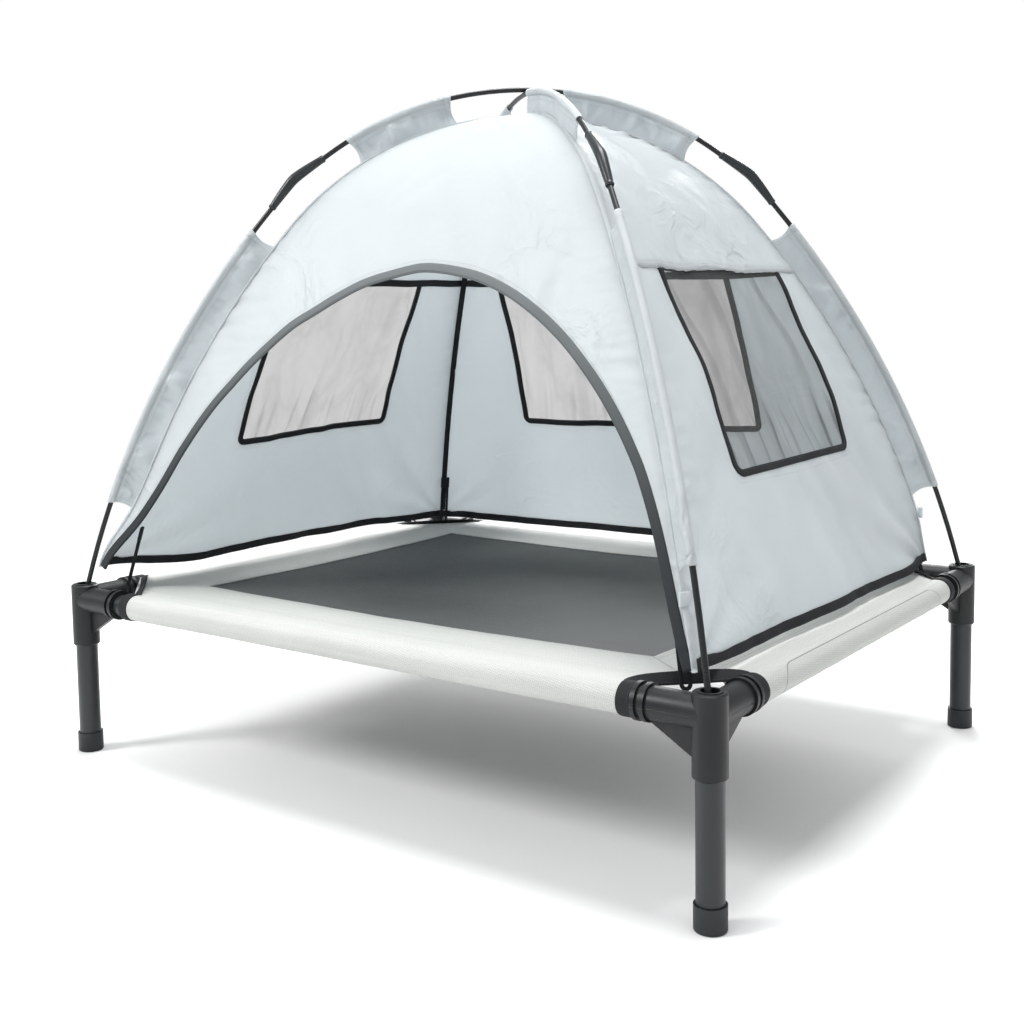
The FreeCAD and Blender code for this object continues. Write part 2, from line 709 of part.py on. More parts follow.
def make_front(side):
    """Front panel with its arched door, and the binding round the arch."""
    depth = size("fin_depth")
    cloth = size("tent_cloth")
    proud = size("binding_proud")
    hem = size("hem_height")
    half_width = side.half_width(hem) - size("door_margin")
    arch = arch_prism(half_width, size("door_binding"))
    panel = side.band(depth, depth + cloth, hem)
    side.add("tent_front_panel", panel.cut(arch))
    thick = side.band(depth - proud, depth + cloth + proud, hem)
    ring = arch.cut(arch_prism(half_width, 0.0))
    side.add("door_binding", thick.common(ring))


def make_window_side(name, side, top_margin, foot_margin):
    """A side with a mesh window hanging from the crown seam, its crown and its bindings.

    The hem's edging is handed back, because one strip runs round three sides.
    """
    depth = size("fin_depth")
    cloth = size("tent_cloth")
    proud = size("binding_proud")
    hem = size("hem_height")
    seam = size("crown_seam_height")
    hem_top = hem + size("hem_width")
    top_half = side.half_width(seam) - top_margin
    foot_half = side.half_width(size("window_foot_height")) - foot_margin
    band = side.band(depth, depth + cloth, hem_top)
    hole = window_prism(top_half, foot_half, 0.0)
    opening = window_prism(top_half, foot_half, size("window_binding"))
    side.add(f"tent_{name}_panel", band.common(side.layer(hem, seam)).cut(hole))
    side.add(f"tent_{name}_crown", band.common(side.layer(seam, seam + TentSide.FAR)))
    thick = side.band(depth - proud, depth + cloth + proud, hem)
    edging = thick.common(side.layer(hem, hem_top))
    edging.Placement = side.placement
    side.add(f"{name}_window_binding", thick.common(hole.cut(opening)))
    middle = depth + cloth / 2
    gauze = side.band(middle - size("mesh_cloth") / 2, middle + size("mesh_cloth") / 2, hem)
    side.add(f"{name}_window_mesh", gauze.common(opening))
    return edging


def make_fin(node, curve, run, sides, placement):
    """A strip of cloth from the corner seam out to a sleeve round the pole."""
    centre, radius, start, end = run
    inner = radius - size("fin_depth") - 3 * size("tent_cloth")
    half = size("fin_cloth") / 2
    outline = Part.Wire([
        Part.Arc(on_arc(centre, radius, start), on_arc(centre, radius, (start + end) / 2),
                 on_arc(centre, radius, end)).toShape(),
        Part.makeLine(on_arc(centre, radius, end), on_arc(centre, inner, end)),
        Part.Arc(on_arc(centre, inner, end), on_arc(centre, inner, (start + end) / 2),
                 on_arc(centre, inner, start)).toShape(),
        Part.makeLine(on_arc(centre, inner, start), on_arc(centre, radius, start)),
    ])
    strip = Part.Face(outline)
    strip.translate(Vector(0, -half, 0))
    bore = rod_bore()
    sleeve = arc_tube(centre, radius, start, end, bore + size("fin_sleeve_wall"))
    fin = strip.extrude(Y_AXIS * 2 * half).fuse(sleeve)
    fin = fin.cut(arc_tube(centre, radius, start - 0.01, end + 0.01, bore))
    for side in sides:
        core = side.core(size("fin_depth"), size("hem_height"))
        core.Placement = placement.inverse().multiply(side.placement)
        fin = fin.cut(core)
    feature(node, max(fin.Solids, key=lambda solid: solid.Volume), placement)


def make_fins(corner, curve, sides, placement):
    """The lower and the upper fin of one corner seam."""
    bare = size("fin_bare_rod")
    foot = math.asin((size("fin_foot_height") - curve.lower_centre.z) / curve.lower_radius)
    lower = (curve.lower_centre, curve.lower_radius, foot, curve.low_lean - bare / curve.lower_radius)
    make_fin(f"lower_fin_{corner}", curve, lower, sides, placement)
    stop = math.acos(size(f"fin_stop_{corner}") / curve.upper_radius)
    upper = (curve.upper_centre, curve.upper_radius, curve.high_lean + bare / curve.upper_radius, stop)
    make_fin(f"upper_fin_{corner}", curve, upper, sides, placement)


def make_loop(corner, curve, placement):
    """Elastic loop inside a tent corner that hangs down behind the post."""
    def stadium(half_width, half_length):
        straight = Part.makeBox(2 * half_width, size("loop_thickness"), 2 * (half_length - half_width),
                                Vector(-half_width, 0, half_width - half_length))
        ends = [Part.makeCylinder(half_width, size("loop_thickness"),
                                  Vector(0, 0, level * (half_length - half_width)), Y_AXIS)
                for level in (-1, 1)]
        return straight.multiFuse(ends).removeSplitter()

    half_width = size("loop_width") / 2
    half_length = size("loop_length") / 2
    band = size("loop_band")
    loop = stadium(half_width, half_length).cut(stadium(half_width - band, half_length - band))
    loop.translate(Vector(0, -size("loop_thickness") / 2, -half_length))
    # the loop's face looks outward; its foot leans out towards the post
    loop.rotate(Vector(), Z_AXIS, 90.0)
    loop.rotate(Vector(), Y_AXIS, -size("loop_lean"))
    top = size("loop_top_height")
    loop.translate(Vector(curve.seam_reach(size("fin_depth"), top) - size("loop_inset"), 0, top))
    feature(f"corner_loop_{corner}", loop, placement)


# ------------------------------------------------------------ the assembly

def make_frame():
    """Connectors, legs, feet and rails."""
    for corner, corner_x, corner_y, turn in CORNERS:
        make_connector(corner, corner_x, corner_y, turn)
        make_leg(corner, corner_x, corner_y)
        make_foot(corner, corner_x, corner_y)
    make_rail("rail_front", "YZ_Plane", POST_X, y=f"-({POST_Y})")
    make_rail("rail_back", "YZ_Plane", POST_X, y=POST_Y)
    make_rail("rail_left", "XZ_Plane", POST_Y, x=f"-({POST_X})")
    make_rail("rail_right", "XZ_Plane", POST_Y, x=POST_X)


def make_canopy():
    """Two crossing poles and the tent that hangs from them."""
    top_curve = PoleCurve(size("pole_apex_height"))
    under_curve = PoleCurve(size("pole_apex_height") - size("pole_crossing_drop"))
    half_x, half_y = post_position()
    sides = {
        "front": TentSide(top_curve, half_y, half_x, -90.0),
        "back": TentSide(top_curve, half_y, half_x, 90.0),
        "left": TentSide(top_curve, half_x, half_y, 180.0),
        "right": TentSide(top_curve, half_x, half_y, 0.0),
    }
    curves = {
        "front_left": top_curve,
        "back_right": top_curve,
        "front_right": under_curve,
        "back_left": under_curve,
    }
    for corner, corner_x, corner_y, _turn in CORNERS:
        placement = corner_placement(corner_x, corner_y)
        curve = curves[corner]
        make_lower_rod(corner, curve, placement)
        make_elbow(corner, curve, placement)
        make_fins(corner, curve, [sides[word] for word in corner.split("_")], placement)
        make_loop(corner, top_curve, placement)
    make_tips(curves)
    make_upper_rod("upper_rod_left_front_to_right_back", top_curve, corner_placement(1, 1))
    make_upper_rod("upper_rod_right_front_to_left_back", under_curve, corner_placement(1, -1))
    make_front(sides["front"])
    edging = []
    for name, window in (("left", "side"), ("back", "back"), ("right", "side")):
        edging.append(make_window_side(name, sides[name], size(f"{window}_window_top_margin"),
                                       size(f"{window}_window_foot_margin")))
    feature("hem_binding", edging[0].multiFuse(edging[1:]).removeSplitter())


def check_document():
    """Stop if any object failed or any node's shape is unsound."""
    for obj in doc.Objects:
        if "Invalid" in obj.State or "Error" in obj.State:
            raise RuntimeError(f"{obj.Label} failed to build")
    for obj in nodes:
        if obj.Shape.isNull() or not obj.Shape.isValid() or not obj.Shape.Solids:
            raise RuntimeError(f"{obj.Label} has no sound solid")


def write_parts():
    """Write each node's shape to its own file."""
    os.makedirs("parts", exist_ok=True)
    for obj in nodes:
        obj.Shape.exportStep(f"parts/{obj.Label}.step")
        print(obj.Label, len(obj.Shape.Solids), "solid", round(obj.Shape.Volume, 1), "mm3")


make_frame()
make_sling([make_corner_binding(*corner) for corner in CORNERS])
make_canopy()
doc.recompute()
check_document()
write_parts()
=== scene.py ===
"""Raised pet cot with a lift-off dome canopy: its surfaces, finishes, light and viewpoint.

Metres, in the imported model's own frame: +Z up, the floor at z = 0, +X along the
long side and -Y the side with the door.
"""

import logging
import math
from dataclasses import dataclass
from enum import Enum
from typing import Any, Sequence

import bmesh
import bpy
import numpy as np
from mathutils import Matrix, Vector


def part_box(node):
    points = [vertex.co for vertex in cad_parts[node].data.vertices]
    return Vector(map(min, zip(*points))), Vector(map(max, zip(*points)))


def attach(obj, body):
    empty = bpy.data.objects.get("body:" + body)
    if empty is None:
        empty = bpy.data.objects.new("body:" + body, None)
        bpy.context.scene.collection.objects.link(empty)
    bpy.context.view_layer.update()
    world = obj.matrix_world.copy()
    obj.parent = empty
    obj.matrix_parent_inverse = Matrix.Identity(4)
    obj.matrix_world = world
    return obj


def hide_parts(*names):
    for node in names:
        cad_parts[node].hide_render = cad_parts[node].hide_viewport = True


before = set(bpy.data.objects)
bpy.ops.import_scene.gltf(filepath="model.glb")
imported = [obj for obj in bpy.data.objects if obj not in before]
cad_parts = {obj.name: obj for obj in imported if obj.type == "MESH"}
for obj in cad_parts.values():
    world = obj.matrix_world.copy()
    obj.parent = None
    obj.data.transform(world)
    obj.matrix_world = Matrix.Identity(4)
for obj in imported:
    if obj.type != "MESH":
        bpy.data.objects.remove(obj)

LOG = logging.getLogger("pet_cot")
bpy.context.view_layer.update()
UP = np.array([0.0, 0.0, 1.0])
MM = 0.001


class Body(str, Enum):
    """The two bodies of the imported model."""

    FRAME = "bed_frame"
    CANOPY = "canopy"


class Slot(str, Enum):
    """The record's material slots."""

    CONNECTOR = "connector_plastic"
    FOOT = "foot_plastic"
    TUBE = "frame_tube"
    WEBBING = "corner_webbing"
    BORDER = "sling_border"
    SLING = "sling_mesh"
    ROD = "pole_rod"
    FITTING = "pole_fitting"
    ELASTIC = "elastic_loop"
    GAUZE = "window_mesh"
    DOOR = "door_binding"
    BINDING = "tent_binding"
    TENT = "tent_cloth"


class Corner(Enum):
    """A corner of the cot, as the sides on which it lies along X and Y."""

    FRONT_LEFT = (-1, -1)
    FRONT_RIGHT = (1, -1)
    BACK_RIGHT = (1, 1)
    BACK_LEFT = (-1, 1)

    @property
    def word(self) -> str:
        """The corner's name within node names."""
        return self.name.lower()


# ------------------------------------------------------------------ shader maths

class Signal:
    """A node socket that takes part in Python arithmetic.

    Each operation adds one Math node, so an expression reads as the formula
    of the pattern that it makes.
    """

    def __init__(self, graph: "Graph", socket: bpy.types.NodeSocket) -> None:
        """Wrap a socket.

        Args:
            graph: The material's node graph.
            socket: The output socket that carries the value.
        """
        self.graph = graph
        self.socket = socket

    def _math(self, operation: str, *values: Any) -> "Signal":
        """Add one Math node over the given values and hand back its result."""
        node = self.graph.node("ShaderNodeMath", {"operation": operation}, dict(enumerate(values)))
        return Signal(self.graph, node.outputs[0])

    def __add__(self, other: Any) -> "Signal":
        """Sum."""
        return self._math("ADD", self, other)

    __radd__ = __add__

    def __sub__(self, other: Any) -> "Signal":
        """Difference."""
        return self._math("SUBTRACT", self, other)

    def __rsub__(self, other: Any) -> "Signal":
        """Difference from a number."""
        return self._math("SUBTRACT", other, self)

    def __mul__(self, other: Any) -> "Signal":
        """Product."""
        return self._math("MULTIPLY", self, other)

    __rmul__ = __mul__

    def __truediv__(self, other: Any) -> "Signal":
        """Quotient."""
        return self._math("DIVIDE", self, other)

    def __pow__(self, other: Any) -> "Signal":
        """Power."""
        return self._math("POWER", self, other)

    def __abs__(self) -> "Signal":
        """Size without sign."""
        return self._math("ABSOLUTE", self)

    def sine(self) -> "Signal":
        """Sine of the value in radians."""
        return self._math("SINE", self)

    def sign(self) -> "Signal":
        """-1, 0 or 1."""
        return self._math("SIGN", self)

    def fraction(self) -> "Signal":
        """What is left after the whole number."""
        return self._math("FRACT", self)

    def below(self, limit: Any) -> "Signal":
        """1 where the value is under the limit, otherwise 0."""
        return self._math("LESS_THAN", self, limit)

    def largest(self, other: Any) -> "Signal":
        """The larger of two values."""
        return self._math("MAXIMUM", self, other)

    def step(self, low: float, high: float) -> "Signal":
        """Rise smoothly from 0 at low to 1 at high.

        Args:
            low: Value at which the result leaves 0.
            high: Value at which the result reaches 1.

        Returns:
            The eased value.
        """
        node = self.graph.node("ShaderNodeMapRange", {"interpolation_type": "SMOOTHSTEP"},
                               {"Value": self, "From Min": low, "From Max": high})
        return Signal(self.graph, node.outputs[0])

    def hump(self, middle: float, half: float) -> "Signal":
        """1 at middle, falling to 0 at half away from it on either side."""
        return 1 - abs(self - middle).step(0.0, half)


class Graph:
    """One material's nodes."""

    def __init__(self, name: str) -> None:
        """Start a material with a Principled shader.

        Args:
            name: The material's name.
        """
        self.material = bpy.data.materials.new(name)
        self.material.use_nodes = True
        self.tree = self.material.node_tree
        self.shader = self.tree.nodes["Principled BSDF"]
        self.output = self.tree.nodes["Material Output"]

    def node(self, kind: str, settings: dict[str, Any] | None = None,
             inputs: dict[Any, Any] | None = None) -> bpy.types.Node:
        """Add a node.

        Args:
            kind: Blender's node type.
            settings: Properties of the node, set before its sockets.
            inputs: Socket names or numbers, with a value, a socket or a Signal for each.

        Returns:
            The new node.
        """
        made = self.tree.nodes.new(kind)
        for key, value in (settings or {}).items():
            setattr(made, key, value)
        for key, value in (inputs or {}).items():
            self.feed(made.inputs[key], value)
        return made

    def feed(self, socket: bpy.types.NodeSocket, value: Any) -> None:
        """Link a Signal or a socket to a socket, or set its value."""
        if isinstance(value, Signal):
            value = value.socket
        if isinstance(value, bpy.types.NodeSocket):
            self.tree.links.new(value, socket)
        else:
            socket.default_value = value

    def place(self) -> bpy.types.NodeSocket:
        """Where the point is, in the model's frame."""
        return self.node("ShaderNodeTexCoord").outputs["Object"]

    def chart(self) -> bpy.types.NodeSocket:
        """Where the point is on the flat cloth, in metres."""
        return self.node("ShaderNodeUVMap", {"uv_map": "chart"}).outputs["UV"]

    def split(self, vector: bpy.types.NodeSocket) -> tuple[Signal, Signal, Signal]:
        """The three parts of a vector."""
        made = self.node("ShaderNodeSeparateXYZ", {}, {0: vector})
        return tuple(Signal(self, socket) for socket in made.outputs)

    def stretch(self, vector: bpy.types.NodeSocket, factors: Sequence[float],
                turn: float = 0.0) -> bpy.types.NodeSocket:
        """Turn a vector about Z and multiply it part by part.

        Args:
            vector: The coordinate.
            factors: One factor for each part.
            turn: Turn before the stretch, in degrees.

        Returns:
            The new coordinate.
        """
        turned = self.node("ShaderNodeMapping", {"vector_type": "POINT"},
                           {"Vector": vector, "Rotation": (0.0, 0.0, math.radians(turn))})
        made = self.node("ShaderNodeVectorMath", {"operation": "MULTIPLY"},
                         {0: turned.outputs[0], 1: tuple(factors)})
        return made.outputs[0]

    def noise(self, vector: bpy.types.NodeSocket, scale: float, detail: float = 3.0,
              roughness: float = 0.5, distortion: float = 0.0) -> Signal:
        """Cloudy noise about 0.5.

        Args:
            vector: The coordinate.
            scale: Lumps to the metre.
            detail: How many finer layers are added.
            roughness: How strong the finer layers are.
            distortion: How far the pattern is swirled.

        Returns:
            The noise's value.
        """
        made = self.node("ShaderNodeTexNoise", {}, {
            "Vector": vector, "Scale": scale, "Detail": detail, "Roughness": roughness,
            "Distortion": distortion})
        return Signal(self, made.outputs["Fac"])

    def blend(self, factor: Any, first: Any, second: Any) -> bpy.types.NodeSocket:
        """Mix two colours.

        Args:
            factor: Share of the second colour.
            first: A colour socket or three numbers.
            second: A colour socket or three numbers.

        Returns:
            The mixed colour.
        """
        made = self.node("ShaderNodeMix", {"data_type": "RGBA", "clamp_factor": True})
        self.feed(made.inputs[0], factor)
        for socket, colour in ((made.inputs[6], first), (made.inputs[7], second)):
            self.feed(socket, (*colour, 1.0) if isinstance(colour, tuple) else colour)
        return made.outputs[2]

    def relief(self, height: Signal, distance: float, strength: float = 1.0,
               under: bpy.types.NodeSocket | None = None) -> bpy.types.NodeSocket:
        """Turn a height into a normal.

        Args:
            height: Height of the surface, from 0 to 1.
            distance: Real depth of that height.
            strength: Share of the relief that is kept.
            under: A coarser normal that this one lies on.

        Returns:
            The normal.
        """
        inputs: dict[str, Any] = {"Height": height, "Distance": distance, "Strength": strength}
        if under is not None:
            inputs["Normal"] = under
        return self.node("ShaderNodeBump", {}, inputs).outputs[0]

    def surface(self, **values: Any) -> None:
        """Set the shader's sockets, named with underscores for spaces."""
        for key, value in values.items():
            if isinstance(value, tuple) and len(value) == 3:
                value = (*value, 1.0)
            self.feed(self.shader.inputs[key.replace("_", " ")], value)

    def glow_through(self, share: float, colour: tuple[float, float, float, float]) -> None:
        """Let light from behind shine through the surface.

        Args:
            share: Share of the surface's light that comes from behind.
            colour: Colour of that light.
        """
        through = self.node("ShaderNodeBsdfTranslucent", {}, {"Color": colour})
        mix = self.node("ShaderNodeMixShader", {}, {
            0: share, 1: self.shader.outputs[0], 2: through.outputs[0]})
        self.tree.links.new(mix.outputs[0], self.output.inputs["Surface"])


Colour = tuple[float, float, float]


@dataclass(frozen=True)
class MouldedPlastic:
    """Satin moulded plastic with a fine spark grain and faint handling marks."""

    name: str
    colour: Colour
    roughness: float = 0.42
    grain: float = 0.09 * MM
    parting: float = 0.0
    post: tuple[float, float] = (0.0, 0.0)

    def make(self) -> bpy.types.Material:
        """Build the material."""
        graph = Graph(self.name)
        place = graph.place()
        grain = graph.noise(place, 1900.0, 2.0, 0.6)
        cloud = graph.noise(place, 28.0, 4.0, 0.55)
        marks = graph.noise(graph.stretch(place, (1.0, 1.0, 0.18), 20.0), 420.0, 5.0, 0.7).step(0.62, 0.74)
        paler = tuple(1.45 * part + 0.012 for part in self.colour)
        colour = graph.blend(cloud.step(0.3, 0.7) * 0.35 + marks * 0.25, self.colour, paler)
        normal = graph.relief(cloud, 0.25 * MM, 0.5)
        if self.parting:
            line = self.parting_line(graph)
            colour = graph.blend(line * 0.35, colour, paler)
            normal = graph.relief(line, 0.35 * MM, 0.8, normal)
        colour = graph.blend(grain.step(0.52, 0.75) * 0.4, colour, paler)
        graph.surface(
            Base_Color=colour,
            Roughness=self.roughness + (cloud - 0.5) * 0.16 + (grain - 0.5) * 0.2 + marks * 0.08,
            Specular_IOR_Level=0.36,
            Normal=graph.relief(grain, self.grain, 0.8, normal),
        )
        return graph.material

    def parting_line(self, graph: Graph) -> Signal:
        """The thin line that the mould leaves along the arms, at one height away from the posts."""
        x, y, z = graph.split(graph.place())
        away = ((abs(x) - self.post[0]) ** 2 + (abs(y) - self.post[1]) ** 2) ** 0.5
        return z.hump(self.parting, 0.5 * MM) * away.step(14.5 * MM, 17.0 * MM)


@dataclass(frozen=True)
class CoatedTube:
    """Powder-coated steel tube with a soft orange peel and fine rubbing along it."""

    name: str
    colour: Colour
    roughness: float = 0.36

    def make(self) -> bpy.types.Material:
        """Build the material."""
        graph = Graph(self.name)
        place = graph.place()
        peel = graph.noise(place, 900.0, 2.0, 0.45)
        cloud = graph.noise(place, 22.0, 3.0, 0.5)
        speck = graph.noise(place, 3400.0, 1.0, 0.5).step(0.6, 0.72)
        rub = graph.noise(graph.stretch(place, (1.0, 1.0, 0.1)), 700.0, 4.0, 0.65).step(0.6, 0.8)
        paler = tuple(1.5 * part + 0.015 for part in self.colour)
        worn = speck * 0.3 + rub * 0.18 + cloud.step(0.35, 0.7) * 0.2
        graph.surface(
            Base_Color=graph.blend(worn, self.colour, paler),
            Roughness=self.roughness + (cloud - 0.5) * 0.14 + rub * 0.1,
            Specular_IOR_Level=0.42,
            Coat_Weight=0.1,
            Coat_Roughness=0.3,
            Normal=graph.relief(peel, 0.12 * MM, 0.7),
        )
        return graph.material


@dataclass(frozen=True)
class WovenBand:
    """Ribbed tape or webbing, stitched along one or two rows, and optionally painted paler towards its top as
    painted light.

    The chart runs along the tape in x and across it in y.
    """

    name: str
    colour: Colour
    rib: float = 1.1 * MM
    stitch_row: float = 2.2 * MM
    stitch: Colour = (0.045, 0.05, 0.055)
    # The last three fields paint the tape paler higher up. This is painted light on its top, not a real change
    # of colour.
    faded: Colour = (0.0, 0.0, 0.0)
    fade_from: float = 0.0
    fade_to: float = 0.0

    def make(self) -> bpy.types.Material:
        """Build the material."""
        graph = Graph(self.name)
        run, across, _ = graph.split(graph.chart())
        ribs = abs((run * (math.pi / self.rib)).sine()) ** 0.6
        fibres = graph.noise(graph.stretch(graph.chart(), (400.0, 2600.0, 1.0)), 1.0, 2.0, 0.6)
        cloud = graph.noise(graph.place(), 45.0, 3.0, 0.5)
        dash = (run / (3.0 * MM)).fraction().below(0.72)
        thread = across.hump(self.stitch_row, 0.45 * MM) * dash
        paler = tuple(1.5 * part + 0.02 for part in self.colour)
        cloth = graph.blend(ribs * 0.35 + fibres * 0.3 + cloud * 0.2, self.colour, paler)
        # Painted highlight: the tape is blended towards a paler colour with height, standing in for light
        # falling on its upper part.
        if self.fade_to:
            _, _, up = graph.split(graph.place())
            cloth = graph.blend(up.step(self.fade_from, self.fade_to), cloth, self.faded)
        height = ribs * 0.5 + fibres * 0.25 + thread * 0.7
        graph.surface(
            Base_Color=graph.blend(thread, cloth, self.stitch),
            Roughness=0.72 + (fibres - 0.5) * 0.2,
            Specular_IOR_Level=0.18,
            Normal=graph.relief(height, 0.3 * MM, 0.8),
        )
        return graph.material


@dataclass(frozen=True)
class TentCloth:
    """Light satin polyester: fine plain weave, soft creases and stitched seams.

    The edging attribute holds the run along the nearest seams in x and the
    distances from the inner and the outer edge of the piece in y and z.
    """

    name: str
    colour: Colour
    inner_rows: tuple[float, ...] = ()
    outer_rows: tuple[float, ...] = ()
    crease: float = 1.0
    thread: float = 0.55 * MM

    def make(self) -> bpy.types.Material:
        """Build the material."""
        graph = Graph(self.name)
        place, chart = graph.place(), graph.chart()
        along, across, _ = graph.split(chart)
        warp = (along * (2 * math.pi / self.thread)).sine()
        weft = (across * (2 * math.pi / self.thread)).sine()
        weave = warp * weft * 0.5 + 0.5
        slub = graph.noise(graph.stretch(chart, (60.0, 1900.0, 1.0)), 1.0, 2.0, 0.6)
        slub = slub * 0.5 + graph.noise(graph.stretch(chart, (1900.0, 60.0, 1.0)), 1.0, 2.0, 0.6) * 0.5
        soft = graph.noise(place, 7.0, 4.0, 0.55, 0.6)
        crumple = 1 - abs(graph.noise(place, 16.0, 3.0, 0.5, 1.2) * 2 - 1)
        crumple = crumple ** 3 * graph.noise(place, 5.0, 2.0, 0.5).step(0.42, 0.68)
        fine = graph.noise(graph.stretch(place, (1.0, 1.0, 0.45)), 70.0, 4.0, 0.6)
        normal = graph.relief(soft, 8.0 * MM, 0.6 * self.crease)
        normal = graph.relief(crumple, 3.0 * MM, 0.8 * self.crease, normal)
        normal = graph.relief(fine, 0.6 * MM, 0.6 * self.crease, normal)
        normal = graph.relief(weave * 0.6 + slub * 0.4, 0.05 * MM, 0.6, normal)
        shade = tuple(0.88 * part for part in self.colour)
        colour = graph.blend(slub.step(0.3, 0.7) * 0.35 + soft.step(0.25, 0.75) * 0.3, self.colour, shade)
        roughness = 0.4 + (slub - 0.5) * 0.16 + (fine - 0.5) * 0.12
        if self.inner_rows or self.outer_rows:
            seam = self.stitches(graph)
            colour = graph.blend(seam * 0.5, colour, tuple(0.72 * part for part in self.colour))
            normal = graph.relief(1 - seam, 0.35 * MM, 0.8, normal)
        graph.surface(Base_Color=colour, Roughness=roughness, Specular_IOR_Level=0.42,
                      Sheen_Weight=0.12, Sheen_Roughness=0.4, Normal=normal)
        graph.glow_through(0.5, (*self.colour, 1.0))
        return graph.material

    def stitches(self, graph: Graph) -> Signal:
        """Rows of dashes beside the piece's edges.

        Args:
            graph: The material's graph.

        Returns:
            1 on a stitch's thread and its needle line, 0 elsewhere.
        """
        edging = graph.node("ShaderNodeAttribute", {"attribute_name": "edging"}).outputs["Vector"]
        run, inner, outer = graph.split(edging)
        dash = (run / (3.2 * MM)).fraction().below(0.7) * 0.55 + 0.45
        rows = [inner.hump(row, 0.7 * MM) for row in self.inner_rows]
        rows += [outer.hump(row, 0.7 * MM) for row in self.outer_rows]
        total = rows[0]
        for row in rows[1:]:
            total = total.largest(row)
        return total * dash


@dataclass(frozen=True)
class CoatedMesh:
    """Open basket weave of coated yarn, for the sling's border and centre."""

    name: str
    yarn: Colour
    gap: Colour
    pitch: float = 1.5 * MM
    turn: float = 0.0
    contrast: float = 0.6
    inner_rows: tuple[float, ...] = ()
    sleeve_rows: tuple[float, ...] = ()
    wrap_start: float = 34.0 * MM
    wrap_top: float = 0.0
    wrap_round: float = 22.0 * MM
    roughness: float = 0.6

    def make(self) -> bpy.types.Material:
        """Build the material: over and under yarns of a basket weave, rounded across."""
        graph = Graph(self.name)
        turned = graph.stretch(graph.chart(), (1.0, 1.0, 1.0), self.turn)
        along, across, _ = graph.split(turned)
        warp = (along * (math.pi / self.pitch)).sine()
        weft = (across * (math.pi / self.pitch)).sine()
        over = (warp * weft).sign() * 0.5 + 0.5
        height = over * abs(warp) ** 0.5 + (1 - over) * abs(weft) ** 0.5
        fleck = graph.noise(graph.stretch(graph.chart(), (900.0, 500.0, 1.0)), 1.0, 2.0, 0.7)
        band = graph.noise(graph.stretch(graph.chart(), (7.0, 260.0, 1.0)), 1.0, 2.0, 0.5)
        cloud = graph.noise(graph.place(), 14.0, 3.0, 0.55)
        share = ((1 - height) * self.contrast + fleck.step(0.5, 0.75) * 0.3 + (band - 0.5) * 0.25
                 + (cloud - 0.5) * 0.25)
        colour = graph.blend(share, self.yarn, self.gap)
        normal = graph.relief(cloud, 2.0 * MM, 0.3)
        normal = graph.relief(height, 0.3 * MM, 0.6, normal)
        if self.inner_rows:
            seam, wrap, rim = self.sewing(graph)
            colour = graph.blend(wrap * 0.22, colour, tuple(0.82 * part for part in self.yarn))
            colour = graph.blend(seam * 0.5, colour, tuple(0.45 * part for part in self.yarn))
            colour = graph.blend(rim * 0.8, colour, tuple(0.16 * part for part in self.yarn))
            normal = graph.relief(wrap * 0.6 + 0.4 - seam * 0.4, 0.8 * MM, 0.9, normal)
        graph.surface(Base_Color=colour, Roughness=self.roughness + (fleck - 0.5) * 0.2,
                      Specular_IOR_Level=0.35, Normal=normal)
        return graph.material

    def sewing(self, graph: Graph) -> tuple[Signal, Signal, Signal]:
        """Stitch rows, and a second layer wrapped round the rail with a rounded corner at its end.

        The edging attribute holds the distance from the sleeve's end in x,
        from the centre's seam in y and round the section in z.

        Args:
            graph: The material's graph.

        Returns:
            The stitches, the second layer and that layer's rim.
        """
        edging = graph.node("ShaderNodeAttribute", {"attribute_name": "edging"}).outputs["Vector"]
        run, inner, around = graph.split(edging)
        seam = inner.hump(self.inner_rows[0], 0.9 * MM)
        for row in self.inner_rows[1:]:
            seam = seam.largest(inner.hump(row, 0.9 * MM))
        for row in self.sleeve_rows:
            seam = seam.largest(around.hump(row, 0.9 * MM))
        seam = seam * ((run / (3.4 * MM)).fraction().below(0.72) * 0.6 + 0.4)
        short = (self.wrap_start + self.wrap_round - run).largest(0.0)
        over = (around - (self.wrap_top - self.wrap_round)).largest(0.0)
        corner = (short * short + over * over) ** 0.5
        wrap = 1 - corner.step(self.wrap_round - 0.3 * MM, self.wrap_round + 0.3 * MM)
        return seam, wrap, corner.hump(self.wrap_round, 0.8 * MM)


@dataclass(frozen=True)
class WindowGauze:
    """Fine see-through netting with soft drapes."""

    name: str
    colour: Colour
    pitch: float = 1.15 * MM
    cover: float = 0.27

    def make(self) -> bpy.types.Material:
        """Build the material: two crossing rows of threads with holes between them."""
        graph = Graph(self.name)
        along, across, _ = graph.split(graph.chart())
        thread = abs((along * (math.pi / self.pitch)).sine()).largest(
            abs((across * (math.pi / self.pitch)).sine()))
        drape = graph.noise(graph.stretch(graph.place(), (1.0, 1.0, 0.3)), 16.0, 4.0, 0.55, 0.8)
        fold = (1 - abs(drape * 2 - 1)) ** 4
        normal = graph.relief(drape, 6.0 * MM, 0.5)
        solid = thread.step(0.55, 0.95)
        gather = graph.node("ShaderNodeAttribute", {"attribute_name": "edging"}).outputs["Vector"]
        pleat, _, _ = graph.split(gather)
        shade = tuple(0.35 * part for part in self.colour)
        graph.surface(
            Base_Color=graph.blend(fold * 0.4 + pleat * 0.8, self.colour, shade),
            Roughness=0.6 + (drape - 0.5) * 0.2,
            Specular_IOR_Level=0.25,
            Alpha=solid * 0.16 + self.cover + fold * 0.08 + pleat * 0.3,
            Normal=graph.relief(thread, 0.15 * MM, 0.6, normal),
        )
        return graph.material


